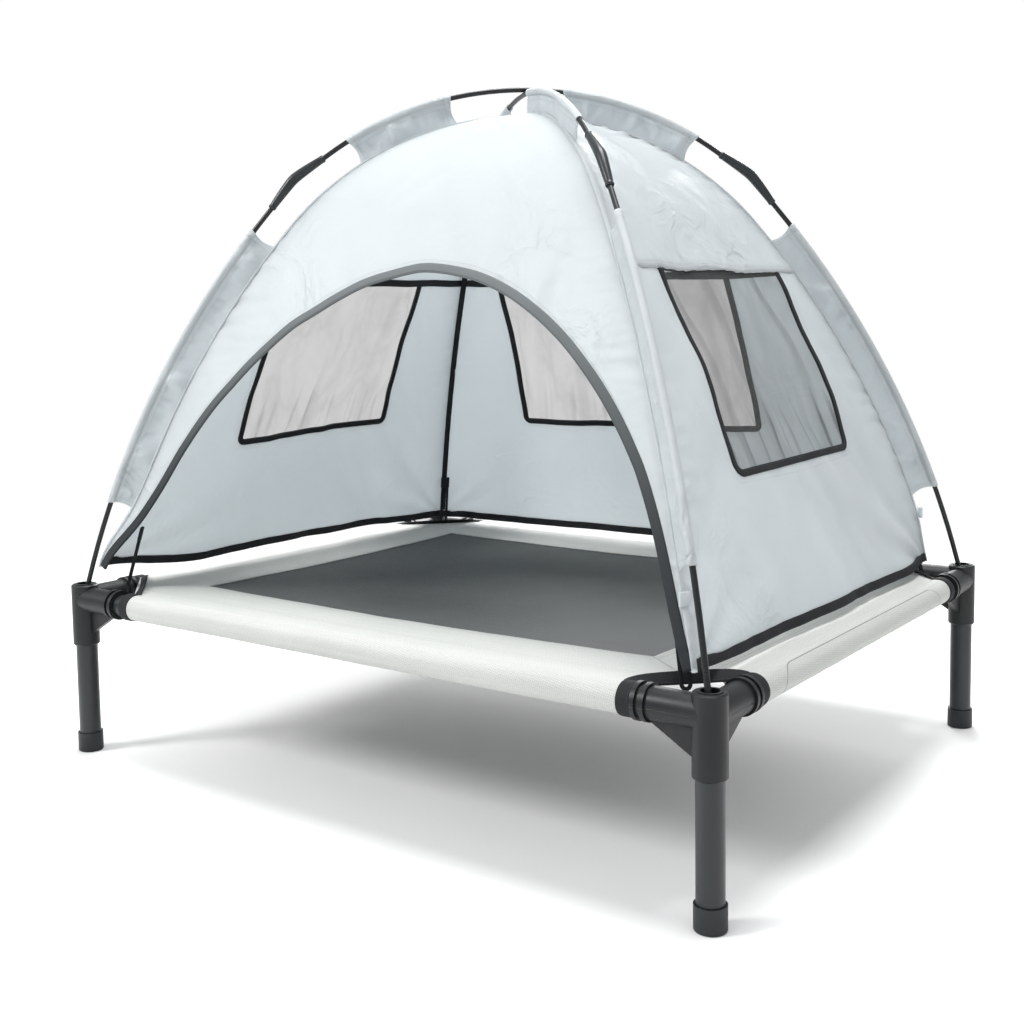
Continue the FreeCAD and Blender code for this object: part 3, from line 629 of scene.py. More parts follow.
@dataclass(frozen=True)
class PoleRod:
    """Black wrapped glass-fibre rod, satin, with the faint turns of its wrap."""

    name: str
    colour: Colour = (0.012, 0.013, 0.014)

    def make(self) -> bpy.types.Material:
        """Build the material."""
        graph = Graph(self.name)
        place = graph.place()
        wrap = graph.noise(graph.stretch(place, (1.0, 1.0, 2.4), 30.0), 520.0, 3.0, 0.5)
        cloud = graph.noise(place, 60.0, 3.0, 0.5)
        graph.surface(
            Base_Color=graph.blend(wrap.step(0.45, 0.8) * 0.35, self.colour, (0.04, 0.043, 0.046)),
            Roughness=0.3 + (cloud - 0.5) * 0.12 + (wrap - 0.5) * 0.1,
            Specular_IOR_Level=0.35,
            Normal=graph.relief(wrap, 0.08 * MM, 0.6),
        )
        return graph.material


@dataclass(frozen=True)
class StudioFloor:
    """Plain pale floor that passes into an evenly lit white sweep away from the cot."""

    name: str = "studio_floor"
    near: float = 0.55
    far: float = 1.7

    def make(self) -> bpy.types.Material:
        """Build the material: plain paper near the middle, a glowing sweep outside."""
        graph = Graph(self.name)
        cloud = graph.noise(graph.place(), 1.5, 3.0, 0.5)
        x, y, _ = graph.split(graph.place())
        away = ((x * x + y * y) ** 0.5).step(self.near, self.far)
        paper = graph.blend(cloud, (0.90, 0.90, 0.90), (0.92, 0.92, 0.92))
        graph.surface(
            Base_Color=graph.blend(away, paper, (0.0, 0.0, 0.0)),
            Emission_Color=graph.blend(away, (0.0, 0.0, 0.0), (1.0, 1.0, 1.0)),
            Emission_Strength=1.0,
            Roughness=0.8, Specular_IOR_Level=0.0,
        )
        return graph.material


class Wardrobe:
    """Every finish, made once and handed out by slot or by its own name."""

    def __init__(self, post: tuple[float, float], wrap_top: float,
                 sleeve_rows: tuple[float, ...]) -> None:
        """Make all the materials.

        Args:
            post: Where the posts stand, along X and Y.
            wrap_top: How far round the sleeve's section its second layer reaches.
            sleeve_rows: How far round that section its stitch rows lie.
        """
        tent = (0.785, 0.82, 0.835)
        self.by_slot = {
            Slot.CONNECTOR: MouldedPlastic("connector_moulding", (0.0065, 0.0075, 0.008), parting=160.5 * MM,
                                           post=post).make(),
            Slot.FOOT: MouldedPlastic("foot_moulding", (0.013, 0.016, 0.0175), 0.48).make(),
            Slot.TUBE: CoatedTube("coated_frame_tube", (0.012, 0.0155, 0.0165)).make(),
            Slot.WEBBING: WovenBand("black_webbing", (0.006, 0.007, 0.008), 1.4 * MM).make(),
            Slot.BORDER: CoatedMesh("light_border_weave", (0.57, 0.58, 0.555), (0.25, 0.26, 0.25),
                                    1.9 * MM, 12.0, 0.7, (3.0 * MM, 8.0 * MM), sleeve_rows,
                                    wrap_top=wrap_top).make(),
            Slot.SLING: CoatedMesh("dark_sling_weave", (0.095, 0.103, 0.102), (0.006, 0.007, 0.008),
                                   2.2 * MM, 38.0, 1.15).make(),
            Slot.ROD: PoleRod("fibre_rod").make(),
            Slot.FITTING: MouldedPlastic("pole_fitting_moulding", (0.018, 0.021, 0.023), 0.32,
                                         0.03 * MM).make(),
            Slot.ELASTIC: WovenBand("braided_elastic", (0.005, 0.006, 0.007), 0.8 * MM).make(),
            Slot.GAUZE: WindowGauze("window_gauze", (0.13, 0.132, 0.13)).make(),
            # The door tape is painted paler towards its top. This is painted light, not a real fade.
            Slot.DOOR: WovenBand("door_edge_tape", (0.016, 0.019, 0.021), 1.0 * MM,
                                 faded=(0.15, 0.165, 0.17), fade_from=0.24, fade_to=0.5).make(),
            Slot.BINDING: WovenBand("dark_edge_tape", (0.007, 0.008, 0.010), 1.0 * MM).make(),
            Slot.TENT: TentCloth("tent_cloth_plain", tent).make(),
        }
        self.panel = TentCloth("tent_cloth_panel", tent, (9.0 * MM,), (5.0 * MM,)).make()
        self.crown = TentCloth("tent_cloth_crown", tent, (3.0 * MM, 7.0 * MM), ()).make()
        self.fin = TentCloth("tent_cloth_fin", tent, (8.5 * MM,), (8.0 * MM,), 1.25).make()

    def dress_node(self, node: str, slot: Slot) -> None:
        """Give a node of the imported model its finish.

        Args:
            node: The node's name.
            slot: Which finish it takes.
        """
        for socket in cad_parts[node].material_slots:
            socket.material = self.by_slot[slot]


# ------------------------------------------------------------------ surfaces

def unit(vectors: np.ndarray) -> np.ndarray:
    """Scale vectors to length one."""
    return vectors / np.linalg.norm(vectors, axis=-1, keepdims=True)


def measure(path: np.ndarray) -> np.ndarray:
    """Distance travelled along a path, from 0 at its first point."""
    steps = np.linalg.norm(np.diff(path, axis=0), axis=-1)
    return np.concatenate([[0.0], np.cumsum(steps)])


class Skin:
    """A mesh gathered from grids of points; a grid's faces look along row x column."""

    def __init__(self) -> None:
        """Start empty."""
        self.points: list[np.ndarray] = []
        self.faces: list[np.ndarray] = []
        self.chart: list[np.ndarray] = []
        self.edging: list[np.ndarray] = []
        self.count = 0

    def grid(self, points: np.ndarray, chart: np.ndarray, edging: np.ndarray | None = None,
             closed: bool = False) -> "Skin":
        """Add a grid.

        Args:
            points: Places, as rows x columns x 3.
            chart: Flat cloth coordinates, with one more column if the grid is closed.
            edging: Run and edge distances, as rows x columns x 3.
            closed: Whether the last column joins the first.

        Returns:
            This skin.
        """
        rows, columns = points.shape[:2]
        index = self.count + np.arange(rows * columns).reshape(rows, columns)
        if closed:
            index = np.hstack([index, index[:, :1]])
        self.faces.append(np.stack(self._corners(index), axis=-1).reshape(-1, 4))
        self.chart.append(np.stack(self._corners(chart), axis=-2).reshape(-1, 4, 2))
        self.points.append(points.reshape(-1, 3))
        self.edging.append(np.zeros((rows * columns, 3)) if edging is None else edging.reshape(-1, 3))
        self.count += rows * columns
        return self

    @staticmethod
    def _corners(table: np.ndarray) -> list[np.ndarray]:
        """The four corners of every cell of a table, in turn."""
        return [table[:-1, :-1], table[1:, :-1], table[1:, 1:], table[:-1, 1:]]

    def area(self) -> float:
        """Sum of the faces' areas, each from the cross product of its diagonals."""
        points = np.concatenate(self.points)
        faces = np.concatenate(self.faces)
        diagonals = points[faces[:, 2]] - points[faces[:, 0]], points[faces[:, 3]] - points[faces[:, 1]]
        return float(np.linalg.norm(np.cross(*diagonals), axis=-1).sum() / 2)

    def build(self, name: str, body: Body, slot: Slot, material: bpy.types.Material,
              nodes: Sequence[str] = (), thickness: float = 0.0) -> bpy.types.Object:
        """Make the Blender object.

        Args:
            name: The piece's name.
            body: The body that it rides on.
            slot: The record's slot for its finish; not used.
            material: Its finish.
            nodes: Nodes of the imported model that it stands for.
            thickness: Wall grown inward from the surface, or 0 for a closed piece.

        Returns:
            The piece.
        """
        mesh = bpy.data.meshes.new(name)
        faces = np.concatenate(self.faces)
        mesh.from_pydata(np.concatenate(self.points), [], faces.tolist())
        mesh.uv_layers.new(name="chart").uv.foreach_set("vector", np.concatenate(self.chart).ravel())
        edging = mesh.attributes.new("edging", "FLOAT_VECTOR", "POINT")
        edging.data.foreach_set("vector", np.concatenate(self.edging).ravel())
        work = bmesh.new()
        work.from_mesh(mesh)
        bmesh.ops.remove_doubles(work, verts=work.verts, dist=0.01 * MM)
        work.to_mesh(mesh)
        work.free()
        mesh.shade_smooth()
        mesh.materials.append(material)
        piece = bpy.data.objects.new(name, mesh)
        bpy.context.scene.collection.objects.link(piece)
        if thickness:
            wall = piece.modifiers.new("wall", "SOLIDIFY")
            wall.thickness = thickness
            wall.offset = -1.0
        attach(piece, body.value)
        if nodes:
            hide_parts(*nodes)
        LOG.info("%s: %d faces on %s", name, len(mesh.polygons), body.value)
        return piece


def oval(width: float, height: float, count: int = 20, square: float = 0.55) -> np.ndarray:
    """Closed section: x = w/2 cos^k, y = h/2 sin^k about its middle, squarer for a smaller k.

    Args:
        width: Whole width.
        height: Whole height.
        count: Points round it.
        square: The power k.

    Returns:
        The section's points.
    """
    angle = np.linspace(0.0, 2 * math.pi, count, endpoint=False)
    wave = np.stack([np.cos(angle), np.sin(angle)], axis=-1)
    return np.sign(wave) * np.abs(wave) ** square * (width / 2, height / 2)


def carry(skin: Skin, path: np.ndarray, facing: np.ndarray, section: np.ndarray,
          closed_path: bool = False) -> None:
    """Carry a closed section along a path: point = path + x side + y facing.

    Args:
        skin: Takes the surface.
        path: Points of the path.
        facing: The way that the section's y points, one for all or one a point.
        section: The section's points, one set or one a point of the path.
        closed_path: Whether the path comes back to its start.
    """
    if closed_path:
        ahead = np.roll(path, -1, axis=0) - np.roll(path, 1, axis=0)
        loop = np.arange(len(path) + 1) % len(path)
        path, ahead = path[loop], ahead[loop]
        facing = np.broadcast_to(facing, (len(loop) - 1, 3))[loop]
    else:
        ahead = np.gradient(path, axis=0)
    ahead = unit(ahead)
    side = unit(np.cross(ahead, facing))
    lift = np.cross(side, ahead)
    section = np.broadcast_to(section, (len(path), *section.shape[-2:]))
    points = (path[:, None] + section[..., :1] * side[:, None] + section[..., 1:] * lift[:, None])
    around = np.concatenate([section[0], section[0][:1]])
    round_trip = np.broadcast_to(measure(around), (len(path), len(around)))
    run = np.broadcast_to(measure(path)[:, None], round_trip.shape)
    skin.grid(points, np.stack([run, round_trip], axis=-1), closed=True)
    if not closed_path:
        cap_ends(skin, points)


def cap_ends(skin: Skin, points: np.ndarray) -> None:
    """Close both ends of a tube with a slightly domed fan that meets in a pole.

    Args:
        skin: Takes the caps.
        points: The tube's points, rows along it and columns round it.
    """
    for ring, inner in ((points[0], points[1]), (points[-1], points[-2])):
        middle = ring.mean(axis=0)
        out = middle - inner.mean(axis=0)
        reach = np.linalg.norm(ring - middle, axis=-1).min()
        pole = middle + out / (np.linalg.norm(out) + 1e-9) * reach * 0.3
        rows = np.stack([ring, (ring * 0.45 + pole * 0.55), np.broadcast_to(pole, ring.shape)])
        if ring is points[0]:
            rows = rows[::-1]
        chart = np.zeros((3, len(ring) + 1, 2))
        skin.grid(rows, chart, closed=True)


def ripples(x: np.ndarray, y: np.ndarray, seed: int, longest: float, shortest: float,
            count: int = 12, slant: float = 0.0, spread: float = math.pi) -> np.ndarray:
    """Smooth folds: a sum of plane waves whose height falls with their length.

    Args:
        x: First flat coordinate.
        y: Second flat coordinate.
        seed: Chooses the waves' directions and phases.
        longest: Longest wave.
        shortest: Shortest wave.
        count: How many waves.
        slant: Middle direction of the waves, in radians.
        spread: How far the directions fan out about it.

    Returns:
        Heights of about -1 to 1.
    """
    chance = np.random.default_rng(seed)
    lengths = longest * (shortest / longest) ** np.linspace(0.0, 1.0, count)
    total = np.zeros_like(x)
    for length in lengths:
        angle = slant + chance.uniform(-spread / 2, spread / 2)
        phase = chance.uniform(0.0, 2 * math.pi)
        swing = 2 * math.pi * (x * math.cos(angle) + y * math.sin(angle)) / length
        total += length / longest * np.sin(swing + phase + 0.8 * np.sin(swing * 0.37 + 2 * phase))
    return total / 2.2


# ------------------------------------------------------------------ poles and seams

@dataclass(frozen=True)
class PoleLine:
    """Centre line of half a pole in its own upright plane.

    A point is a complex number, reach from the middle + i height.  From the
    foot up: an arc, an elbow of two straight legs, and an arc centred on the
    middle of the cot.  An arc's point is centre + radius e^(i lean).
    """

    span: float
    foot_height: float
    apex_height: float
    foot_lean: float = math.radians(14.0)
    low_lean: float = math.radians(40.0)
    high_lean: float = math.radians(54.5)
    elbow_leg: float = 43.5 * MM

    @property
    def radii(self) -> tuple[float, float]:
        """Upper and lower radius, from how far and how high the pole has to go."""
        leg = self.elbow_leg
        reach = self.span - leg * (math.sin(self.high_lean) + math.sin(self.low_lean))
        climb = leg * (math.cos(self.high_lean) + math.cos(self.low_lean))
        rise = self.apex_height - self.foot_height - climb
        table = np.array([
            [math.cos(self.high_lean), math.cos(self.foot_lean) - math.cos(self.low_lean)],
            [1.0 - math.sin(self.high_lean), math.sin(self.low_lean) - math.sin(self.foot_lean)],
        ])
        upper, lower = np.linalg.solve(table, (reach, rise))
        return float(upper), float(lower)

    @property
    def upper_centre(self) -> complex:
        """Centre of the arc over the middle."""
        return 1j * (self.apex_height - self.radii[0])

    @property
    def kink(self) -> complex:
        """Where the elbow's two legs meet."""
        top = self.upper_centre + self.radii[0] * np.exp(1j * self.high_lean)
        return top - 1j * np.exp(1j * self.high_lean) * self.elbow_leg

    @property
    def lower_centre(self) -> complex:
        """Centre of the lower arc."""
        foot = self.kink - 1j * np.exp(1j * self.low_lean) * self.elbow_leg
        return foot - self.radii[1] * np.exp(1j * self.low_lean)

    def seam_arcs(self) -> list[tuple[complex, float, float, float]]:
        """The pole's line as three tangent arcs: centre, radius, and lean at both ends."""
        upper, lower = self.radii
        elbow = self.elbow_leg / math.tan((self.high_lean - self.low_lean) / 2)
        elbow_foot = self.lower_centre + lower * np.exp(1j * self.low_lean)
        elbow_centre = elbow_foot - elbow * np.exp(1j * self.low_lean)
        return [
            (self.lower_centre, lower, self.foot_lean, self.low_lean),
            (elbow_centre, elbow, self.low_lean, self.high_lean),
            (self.upper_centre, upper, self.high_lean, math.pi / 2),
        ]


class SeamProfile:
    """A line at one depth inside a pole, read by its fraction from the hem to the apex."""

    SAMPLES = 400

    def __init__(self, pole: PoleLine, depth: float, start_height: float) -> None:
        """Sample the three arcs.

        Args:
            pole: The pole's line.
            depth: How far inside the pole the line lies.
            start_height: Height of its lower end.
        """
        points, leans = [], []
        for centre, radius, start, end in pole.seam_arcs():
            inside = radius - depth
            if not points:
                start = math.asin((start_height - centre.imag) / inside)
            lean = np.linspace(start, end, self.SAMPLES)
            points.append(centre + inside * np.exp(1j * lean))
            leans.append(lean)
        self.line = np.concatenate(points)
        self.lean = np.concatenate(leans)
        self.travelled = np.concatenate([[0.0], np.cumsum(np.abs(np.diff(self.line)))])
        self.length = float(self.travelled[-1])

    def at(self, fraction: np.ndarray) -> tuple[np.ndarray, np.ndarray, np.ndarray]:
        """Reach, height and lean at fractions of the way up."""
        way = np.asarray(fraction) * self.length
        return tuple(np.interp(way, self.travelled, values)
                     for values in (self.line.real, self.line.imag, self.lean))

    def fraction(self, height: np.ndarray | float) -> np.ndarray:
        """Fraction of the way up at which a height is reached."""
        return np.interp(height, self.line.imag, self.travelled) / self.length


@dataclass(frozen=True)
class Drape:
    """How one side's cloth leaves its plain shape."""

    seed: int
    sag: float = 4.0 * MM
    folds: float = 2.4 * MM
    pull: float = 2.4 * MM
    pucker: float = 1.0 * MM
    hem_lift: float = 0.0
    gathered_at: float = 0.0

    def depth(self, across: np.ndarray, up: np.ndarray, half: np.ndarray, height: float) -> np.ndarray:
        """How far the cloth stands out along its normal.

        It hollows between the seams, carries soft folds that lean towards the
        seams, puckers beside them and is drawn into rays at both corners of
        the hem.

        Args:
            across: Distance from the side's middle line.
            up: Distance from the hem along the cloth.
            half: Half width there.
            height: Whole length from hem to apex.

        Returns:
            The depths, negative inward.
        """
        margin = np.maximum(half - np.abs(across), 0.0)
        fade = 1 - np.exp(-margin / (30 * MM))
        share = np.clip(margin / np.maximum(half, 1 * MM), 0.0, 1.0)
        hollow = -self.sag * (1 - (1 - share) ** 2) * np.sin(math.pi * np.clip(up / height, 0, 1)) ** 0.6
        folds = ripples(across, up, self.seed, 260 * MM, 40 * MM, 12, 0.2, 1.4)
        slanting = ripples(np.abs(across), up, self.seed + 9, 150 * MM, 24 * MM, 10, 0.7, 0.6)
        beside = np.exp(-margin / (26 * MM)) * (1 - np.exp(-margin / (3 * MM)))
        small = ripples(up, 0.5 * across, self.seed + 17, 30 * MM, 9 * MM, 9, 0.0, 0.9)
        patches = 0.5 + 0.5 * np.sin(up / (70 * MM) + self.seed)
        rays = self.rays(across, up, half)
        gathers = self.gathers(across, up) if self.gathered_at else 0.0
        return (hollow + fade * (self.folds * (folds + 0.55 * slanting) + self.pull * rays)
                + self.pucker * beside * small * patches + gathers)

    def rays(self, across: np.ndarray, up: np.ndarray, half: np.ndarray) -> np.ndarray:
        """Ridges that fan out of both corners of the hem.

        Args:
            across: Distance from the side's middle line.
            up: Distance from the hem.
            half: Half width there.

        Returns:
            Heights of about -1 to 1.
        """
        total = np.zeros_like(across)
        for side in (-1, 1):
            beside = half - side * across
            distance = np.hypot(beside, up)
            angle = np.arctan2(up, np.maximum(beside, 1e-6))
            swell = distance / (55 * MM) * np.exp(1 - distance / (55 * MM))
            total = total + swell * np.sin(angle * 12 + self.seed + side) * (0.6 + 0.4 * np.sin(3 * angle))
        return total

    def gathers(self, across: np.ndarray, up: np.ndarray) -> np.ndarray:
        """Short upright puckers on both sides of the crown's seam."""
        from_seam = np.abs(up - self.gathered_at)
        band = np.exp(-from_seam / (11 * MM)) * (1 - np.exp(-from_seam / (2 * MM)))
        return 1.7 * MM * band * ripples(across, 0.2 * up, self.seed + 31, 26 * MM, 8 * MM, 9, 0.0, 0.5)


@dataclass(frozen=True)
class Tug:
    """A corner of the hem pulled out of place: shift exp(-(distance / reach)^2)."""

    place: tuple[float, float, float]
    shift: tuple[float, float, float]
    reach: float

    def __call__(self, points: np.ndarray) -> np.ndarray:
        """Points moved by the tug."""
        distance = np.linalg.norm(points - np.array(self.place), axis=-1, keepdims=True)
        return points + np.exp(-(distance / self.reach) ** 2) * np.array(self.shift)


class Gore:
    """One side of the tent, between two corner seams.

    Its point at (across, fraction) is outward squeeze reach + across + up
    height, pushed along the normal by the drape.
    """

    def __init__(self, name: str, outward: tuple[int, int], near: float, along: float,
                 profile: SeamProfile, drape: Drape, tugs: Sequence[Tug] = ()) -> None:
        """Set the side's place.

        Args:
            name: The side's word in node names.
            outward: Which way it faces in plan.
            near: Half the distance between the posts, outward.
            along: Half the distance between the posts, across.
            profile: The corner seams' line.
            drape: How its cloth hangs.
            tugs: Corners of the hem that are pulled out of place.
        """
        self.tugs = tugs
        self.name = name
        self.outward = np.array([*outward, 0.0])
        self.across = np.cross(UP, self.outward)
        self.squeeze = near / math.hypot(near, along)
        self.spread = along / math.hypot(near, along)
        self.profile = profile
        self.drape = drape

    def half_width(self, fraction: np.ndarray | float) -> np.ndarray:
        """Half the side's width at a fraction of the way up."""
        return self.spread * self.profile.at(fraction)[0]

    def normal(self, fraction: np.ndarray) -> np.ndarray:
        """The way that the plain side faces."""
        lean = self.profile.at(fraction)[2]
        return unit(np.cos(lean)[..., None] * self.outward + (self.squeeze * np.sin(lean))[..., None] * UP)

    def place(self, across: np.ndarray, fraction: np.ndarray, lift: float | np.ndarray = 0.0) -> np.ndarray:
        """Points of the side.

        Args:
            across: Distances from the middle line.
            fraction: Fractions of the way up.
            lift: Height above the cloth.

        Returns:
            The points.
        """
        reach, height, _ = self.profile.at(fraction)
        half = self.spread * reach
        up = np.asarray(fraction) * self.profile.length
        push = lift + self.drape.depth(across, up, half, self.profile.length)
        share = np.clip(1 - (across / np.maximum(half, 1 * MM)) ** 2, 0.0, 1.0)
        height = height + self.drape.hem_lift * share * np.exp(-up / (60 * MM))
        plain = ((self.squeeze * reach)[..., None] * self.outward + across[..., None] * self.across
                 + height[..., None] * UP)
        points = plain + push[..., None] * self.normal(fraction)
        for tug in self.tugs:
            points = tug(points)
        return points

    def chart(self, across: np.ndarray, fraction: np.ndarray) -> np.ndarray:
        """The cloth laid flat: across, and distance up the side."""
        return np.stack([across, fraction * self.profile.length], axis=-1)

    def patch(self, skin: Skin, inner: tuple[np.ndarray, np.ndarray], outer: tuple[np.ndarray, np.ndarray],
              rows: int, lift: float = 0.0) -> None:
        """Span two lines of the side with cloth: point = (1 - v) inner + v outer.

        Args:
            skin: Takes the cloth.
            inner: Across and fraction along the inner line.
            outer: Across and fraction along the outer line, point for point.
            rows: Points from one line to the other.
            lift: Height above the side's surface.
        """
        share = np.linspace(0.0, 1.0, rows) ** 1.2
        across = inner[0][:, None] * (1 - share) + outer[0][:, None] * share
        fraction = inner[1][:, None] * (1 - share) + outer[1][:, None] * share
        points = self.place(across, fraction, lift)
        gaps = np.linalg.norm(np.diff(points, axis=1), axis=-1)
        from_inner = np.concatenate([np.zeros((len(points), 1)), np.cumsum(gaps, axis=1)], axis=1)
        to_outer = from_inner[:, -1:] - from_inner
        run = np.broadcast_to(measure(points[:, 0])[:, None], across.shape)
        skin.grid(points, self.chart(across, fraction), np.stack([run, from_inner, to_outer], axis=-1))


def rounded_outline(corners: Sequence[complex], radius: float, count: int) -> np.ndarray:
    """A chain of straight legs with rounded corners between them.

    Each leg runs from the middle of one rounding to the middle of the next
    and has the same number of evenly spaced points.

    Args:
        corners: The chain's points, its two ends among them.
        radius: Radius of the roundings.
        count: Steps on each leg.

    Returns:
        The outline's points as complex numbers.
    """
    lines = [[corners[0]]]
    for before, corner, after in zip(corners, corners[1:], corners[2:]):
        back, ahead = (before - corner) / abs(before - corner), (after - corner) / abs(after - corner)
        half = abs(np.angle(ahead / back)) / 2
        middle = corner + (back + ahead) / abs(back + ahead) * radius / math.sin(half)
        start, end = corner + back * radius / math.tan(half), corner + ahead * radius / math.tan(half)
        turn = np.angle((end - middle) / (start - middle))
        arc = middle + (start - middle) * np.exp(1j * turn * np.linspace(0.0, 1.0, 17))
        lines[-1].extend(arc[:9])
        lines.append(list(arc[8:]))
    lines[-1].append(corners[-1])
    outline = []
    for line in lines:
        travelled = np.concatenate([[0.0], np.cumsum(np.abs(np.diff(line)))])
        steps = np.linspace(0.0, travelled[-1], count + 1)[0 if not outline else 1:]
        across = np.interp(steps, travelled, np.real(line))
        upward = np.interp(steps, travelled, np.imag(line))
        outline.extend(across + 1j * upward)
    return np.array(outline)


# ------------------------------------------------------------------ the canopy

@dataclass
class WindowShape:
    """A window's outline on its side, and how strongly its netting is pleated.

    The outline has half widths and sideways slides at its top and foot, the
    foot's height and tilt, and the rounding of the foot's corners.
    """

    half_top: float
    half_foot: float
    slide_top: float
    slide_foot: float
    foot: float
    tilt: float
    rounding: float
    pleats: float


@dataclass
class Tent:
    """The four-sided tent with its door, windows, bindings and seams."""

    wardrobe: Wardrobe
    post_x: float
    post_y: float
    pole: PoleLine
    fin_depth: float = 26.0 * MM
    cloth: float = 0.9 * MM
    hem_height: float = 180.0 * MM
    hem_width: float = 9.0 * MM
    crown_seam: float = 497.0 * MM
    door_margin: float = 20.0 * MM
    door_top: float = 495.0 * MM
    door_centre: float = 150.0 * MM
    door_power: float = 1.8
    door_slide: float = 9.0 * MM
    door_flare: float = 12.0 * MM
    door_binding: float = 9.5 * MM
    window_binding: float = 7.0 * MM

    def __post_init__(self) -> None:
        """Lay out the four sides."""
        self.profile = SeamProfile(self.pole, self.fin_depth + 0.4 * MM, self.hem_height)
        x, y = self.post_x, self.post_y
        self.seam_fraction = float(self.profile.fraction(self.crown_seam))
        seam_up = self.seam_fraction * self.profile.length
        hem = float(self.profile.at(0.0)[0]) / math.hypot(x, y)
        self.tugs = (
            Tug((-hem * x, -hem * y, self.hem_height), (-9 * MM, -12 * MM, 17 * MM), 62 * MM),
            Tug((hem * x, -hem * y, self.hem_height), (2 * MM, 0.0, 4 * MM), 50 * MM),
            Tug((hem * x, hem * y, self.hem_height), (-6 * MM, -3 * MM, 3 * MM), 45 * MM),
        )
        self.front = Gore("front", (0, -1), y, x, self.profile,
                          Drape(3, 3.0 * MM, 1.7 * MM, 1.0 * MM, 0.8 * MM), self.tugs)
        self.sides = {
            "left": Gore("left", (-1, 0), x, y, self.profile,
                         Drape(11, 4.0 * MM, 2.4 * MM, 2.2 * MM, 1.0 * MM, 9.0 * MM, seam_up), self.tugs),
            "back": Gore("back", (0, 1), y, x, self.profile,
                         Drape(23, 5.0 * MM, 2.4 * MM, 2.2 * MM, 1.0 * MM, 2.0 * MM, seam_up), self.tugs),
            "right": Gore("right", (1, 0), x, y, self.profile,
                          Drape(31, 4.0 * MM, 2.2 * MM, 2.6 * MM, 1.8 * MM, 0.0, seam_up), self.tugs),
        }

    def build(self) -> None:
        """Build every piece of the tent."""
        self.build_front()
        windows = {
            "left": WindowShape(110 * MM, 121 * MM, 15 * MM, 15 * MM, 319 * MM, -4 * MM, 9 * MM, 0.45),
            "right": WindowShape(121 * MM, 129 * MM, 15 * MM, 7 * MM, 313 * MM, 2 * MM, 13 * MM, 1.0),
            "back": WindowShape(158 * MM, 166 * MM, 8 * MM, 8 * MM, 318 * MM, 0.0, 9 * MM, 0.4),
        }
        for name, window in windows.items():
            self.build_window_side(self.sides[name], window)
        self.build_hem()
        self.build_corner_seams()

    def sheet(self, skin: Skin) -> None:
        """Work out a panel's cut size from its plain surface; the size is computed and then not used.

        A panel that fills little of its own rectangle is a horseshoe, so its
        cut is given as a strip as long as the horseshoe's edge.

        Args:
            skin: Its surface.
        """
        area = skin.area()
        chart = np.concatenate(skin.chart).reshape(-1, 2)
        width, length = chart.max(axis=0) - chart.min(axis=0)
        if area < 0.35 * width * length:
            length = np.concatenate(skin.edging)[:, 0].max()
            width = area / length
        area = min(area, width * length)

    def arch(self, grown: float, count: int) -> tuple[np.ndarray, np.ndarray]:
        """The door's arch grown by a margin: |across / a|^p + |(height - c) / b|^p = 1.

        Args:
            grown: How far outside the door's edge the line lies.
            count: Points from foot to foot.

        Returns:
            Distances across and fractions of the way up, from left to right.
        """
        wide = float(self.front.half_width(0.0)) - self.door_margin + grown
        tall = self.door_top - self.door_centre + grown
        power = 2 / self.door_power
        foot = math.asin(((self.hem_height - self.door_centre) / tall) ** (1 / power))
        angle = np.linspace(math.pi - foot, foot, count)
        height = self.door_centre + tall * np.sin(angle) ** power
        slide = self.door_slide * np.clip((height - self.hem_height) / (150 * MM), 0.0, 1.0)
        flare = self.door_flare * np.exp(-(height - self.hem_height) / (35 * MM))
        across = np.sign(np.cos(angle)) * (wide * np.abs(np.cos(angle)) ** power + flare) + slide
        return across, self.profile.fraction(height)

    def build_front(self) -> None:
        """The door side: cloth from the arch out to the seams, and the tape round the arch."""
        count = 561
        way = np.linspace(0.0, 2.0, count)
        fraction = np.where(way < 1, way, 2 - way)
        outer = (np.sign(way - 1) * self.front.half_width(fraction), fraction)
        skin = Skin()
        self.front.patch(skin, self.arch(4.0 * MM, count), outer, 46)
        panel = skin.build("tent_front", Body.CANOPY, Slot.TENT, self.wardrobe.panel,
                           ["tent_front_panel"], self.cloth)
        self.sheet(skin)
        across, fraction = self.arch(self.door_binding / 2, 401)
        path = self.front.place(across, fraction, -self.cloth / 2)
        skin = Skin()
        carry(skin, path, self.front.normal(fraction), oval(self.door_binding, 3.2 * MM))
        skin.build("door_edging", Body.CANOPY, Slot.DOOR, self.wardrobe.by_slot[Slot.DOOR], ["door_binding"])

    def window_line(self, window: WindowShape, inset: float, count: int,
                    short: float = 0.0) -> tuple[np.ndarray, np.ndarray]:
        """A window's edge from its top right corner down, across its foot and up to its top left.

        Args:
            window: The window's outline.
            inset: How far inside the window's edge the line lies.
            count: Steps on each of its three legs.
            short: How far under the crown seam both ends lie.

        Returns:
            Distances across and fractions of the way up.
        """
        top, foot, low = window.half_top - inset, window.half_foot - inset, window.foot + inset
        corners = [complex(window.slide_top + top, self.crown_seam - short),
                   complex(window.slide_foot + foot, low + window.tilt),
                   complex(window.slide_foot - foot, low - window.tilt),
                   complex(window.slide_top - top, self.crown_seam - short)]
        line = rounded_outline(corners, window.rounding - inset, count)
        return line.real, self.profile.fraction(line.imag)

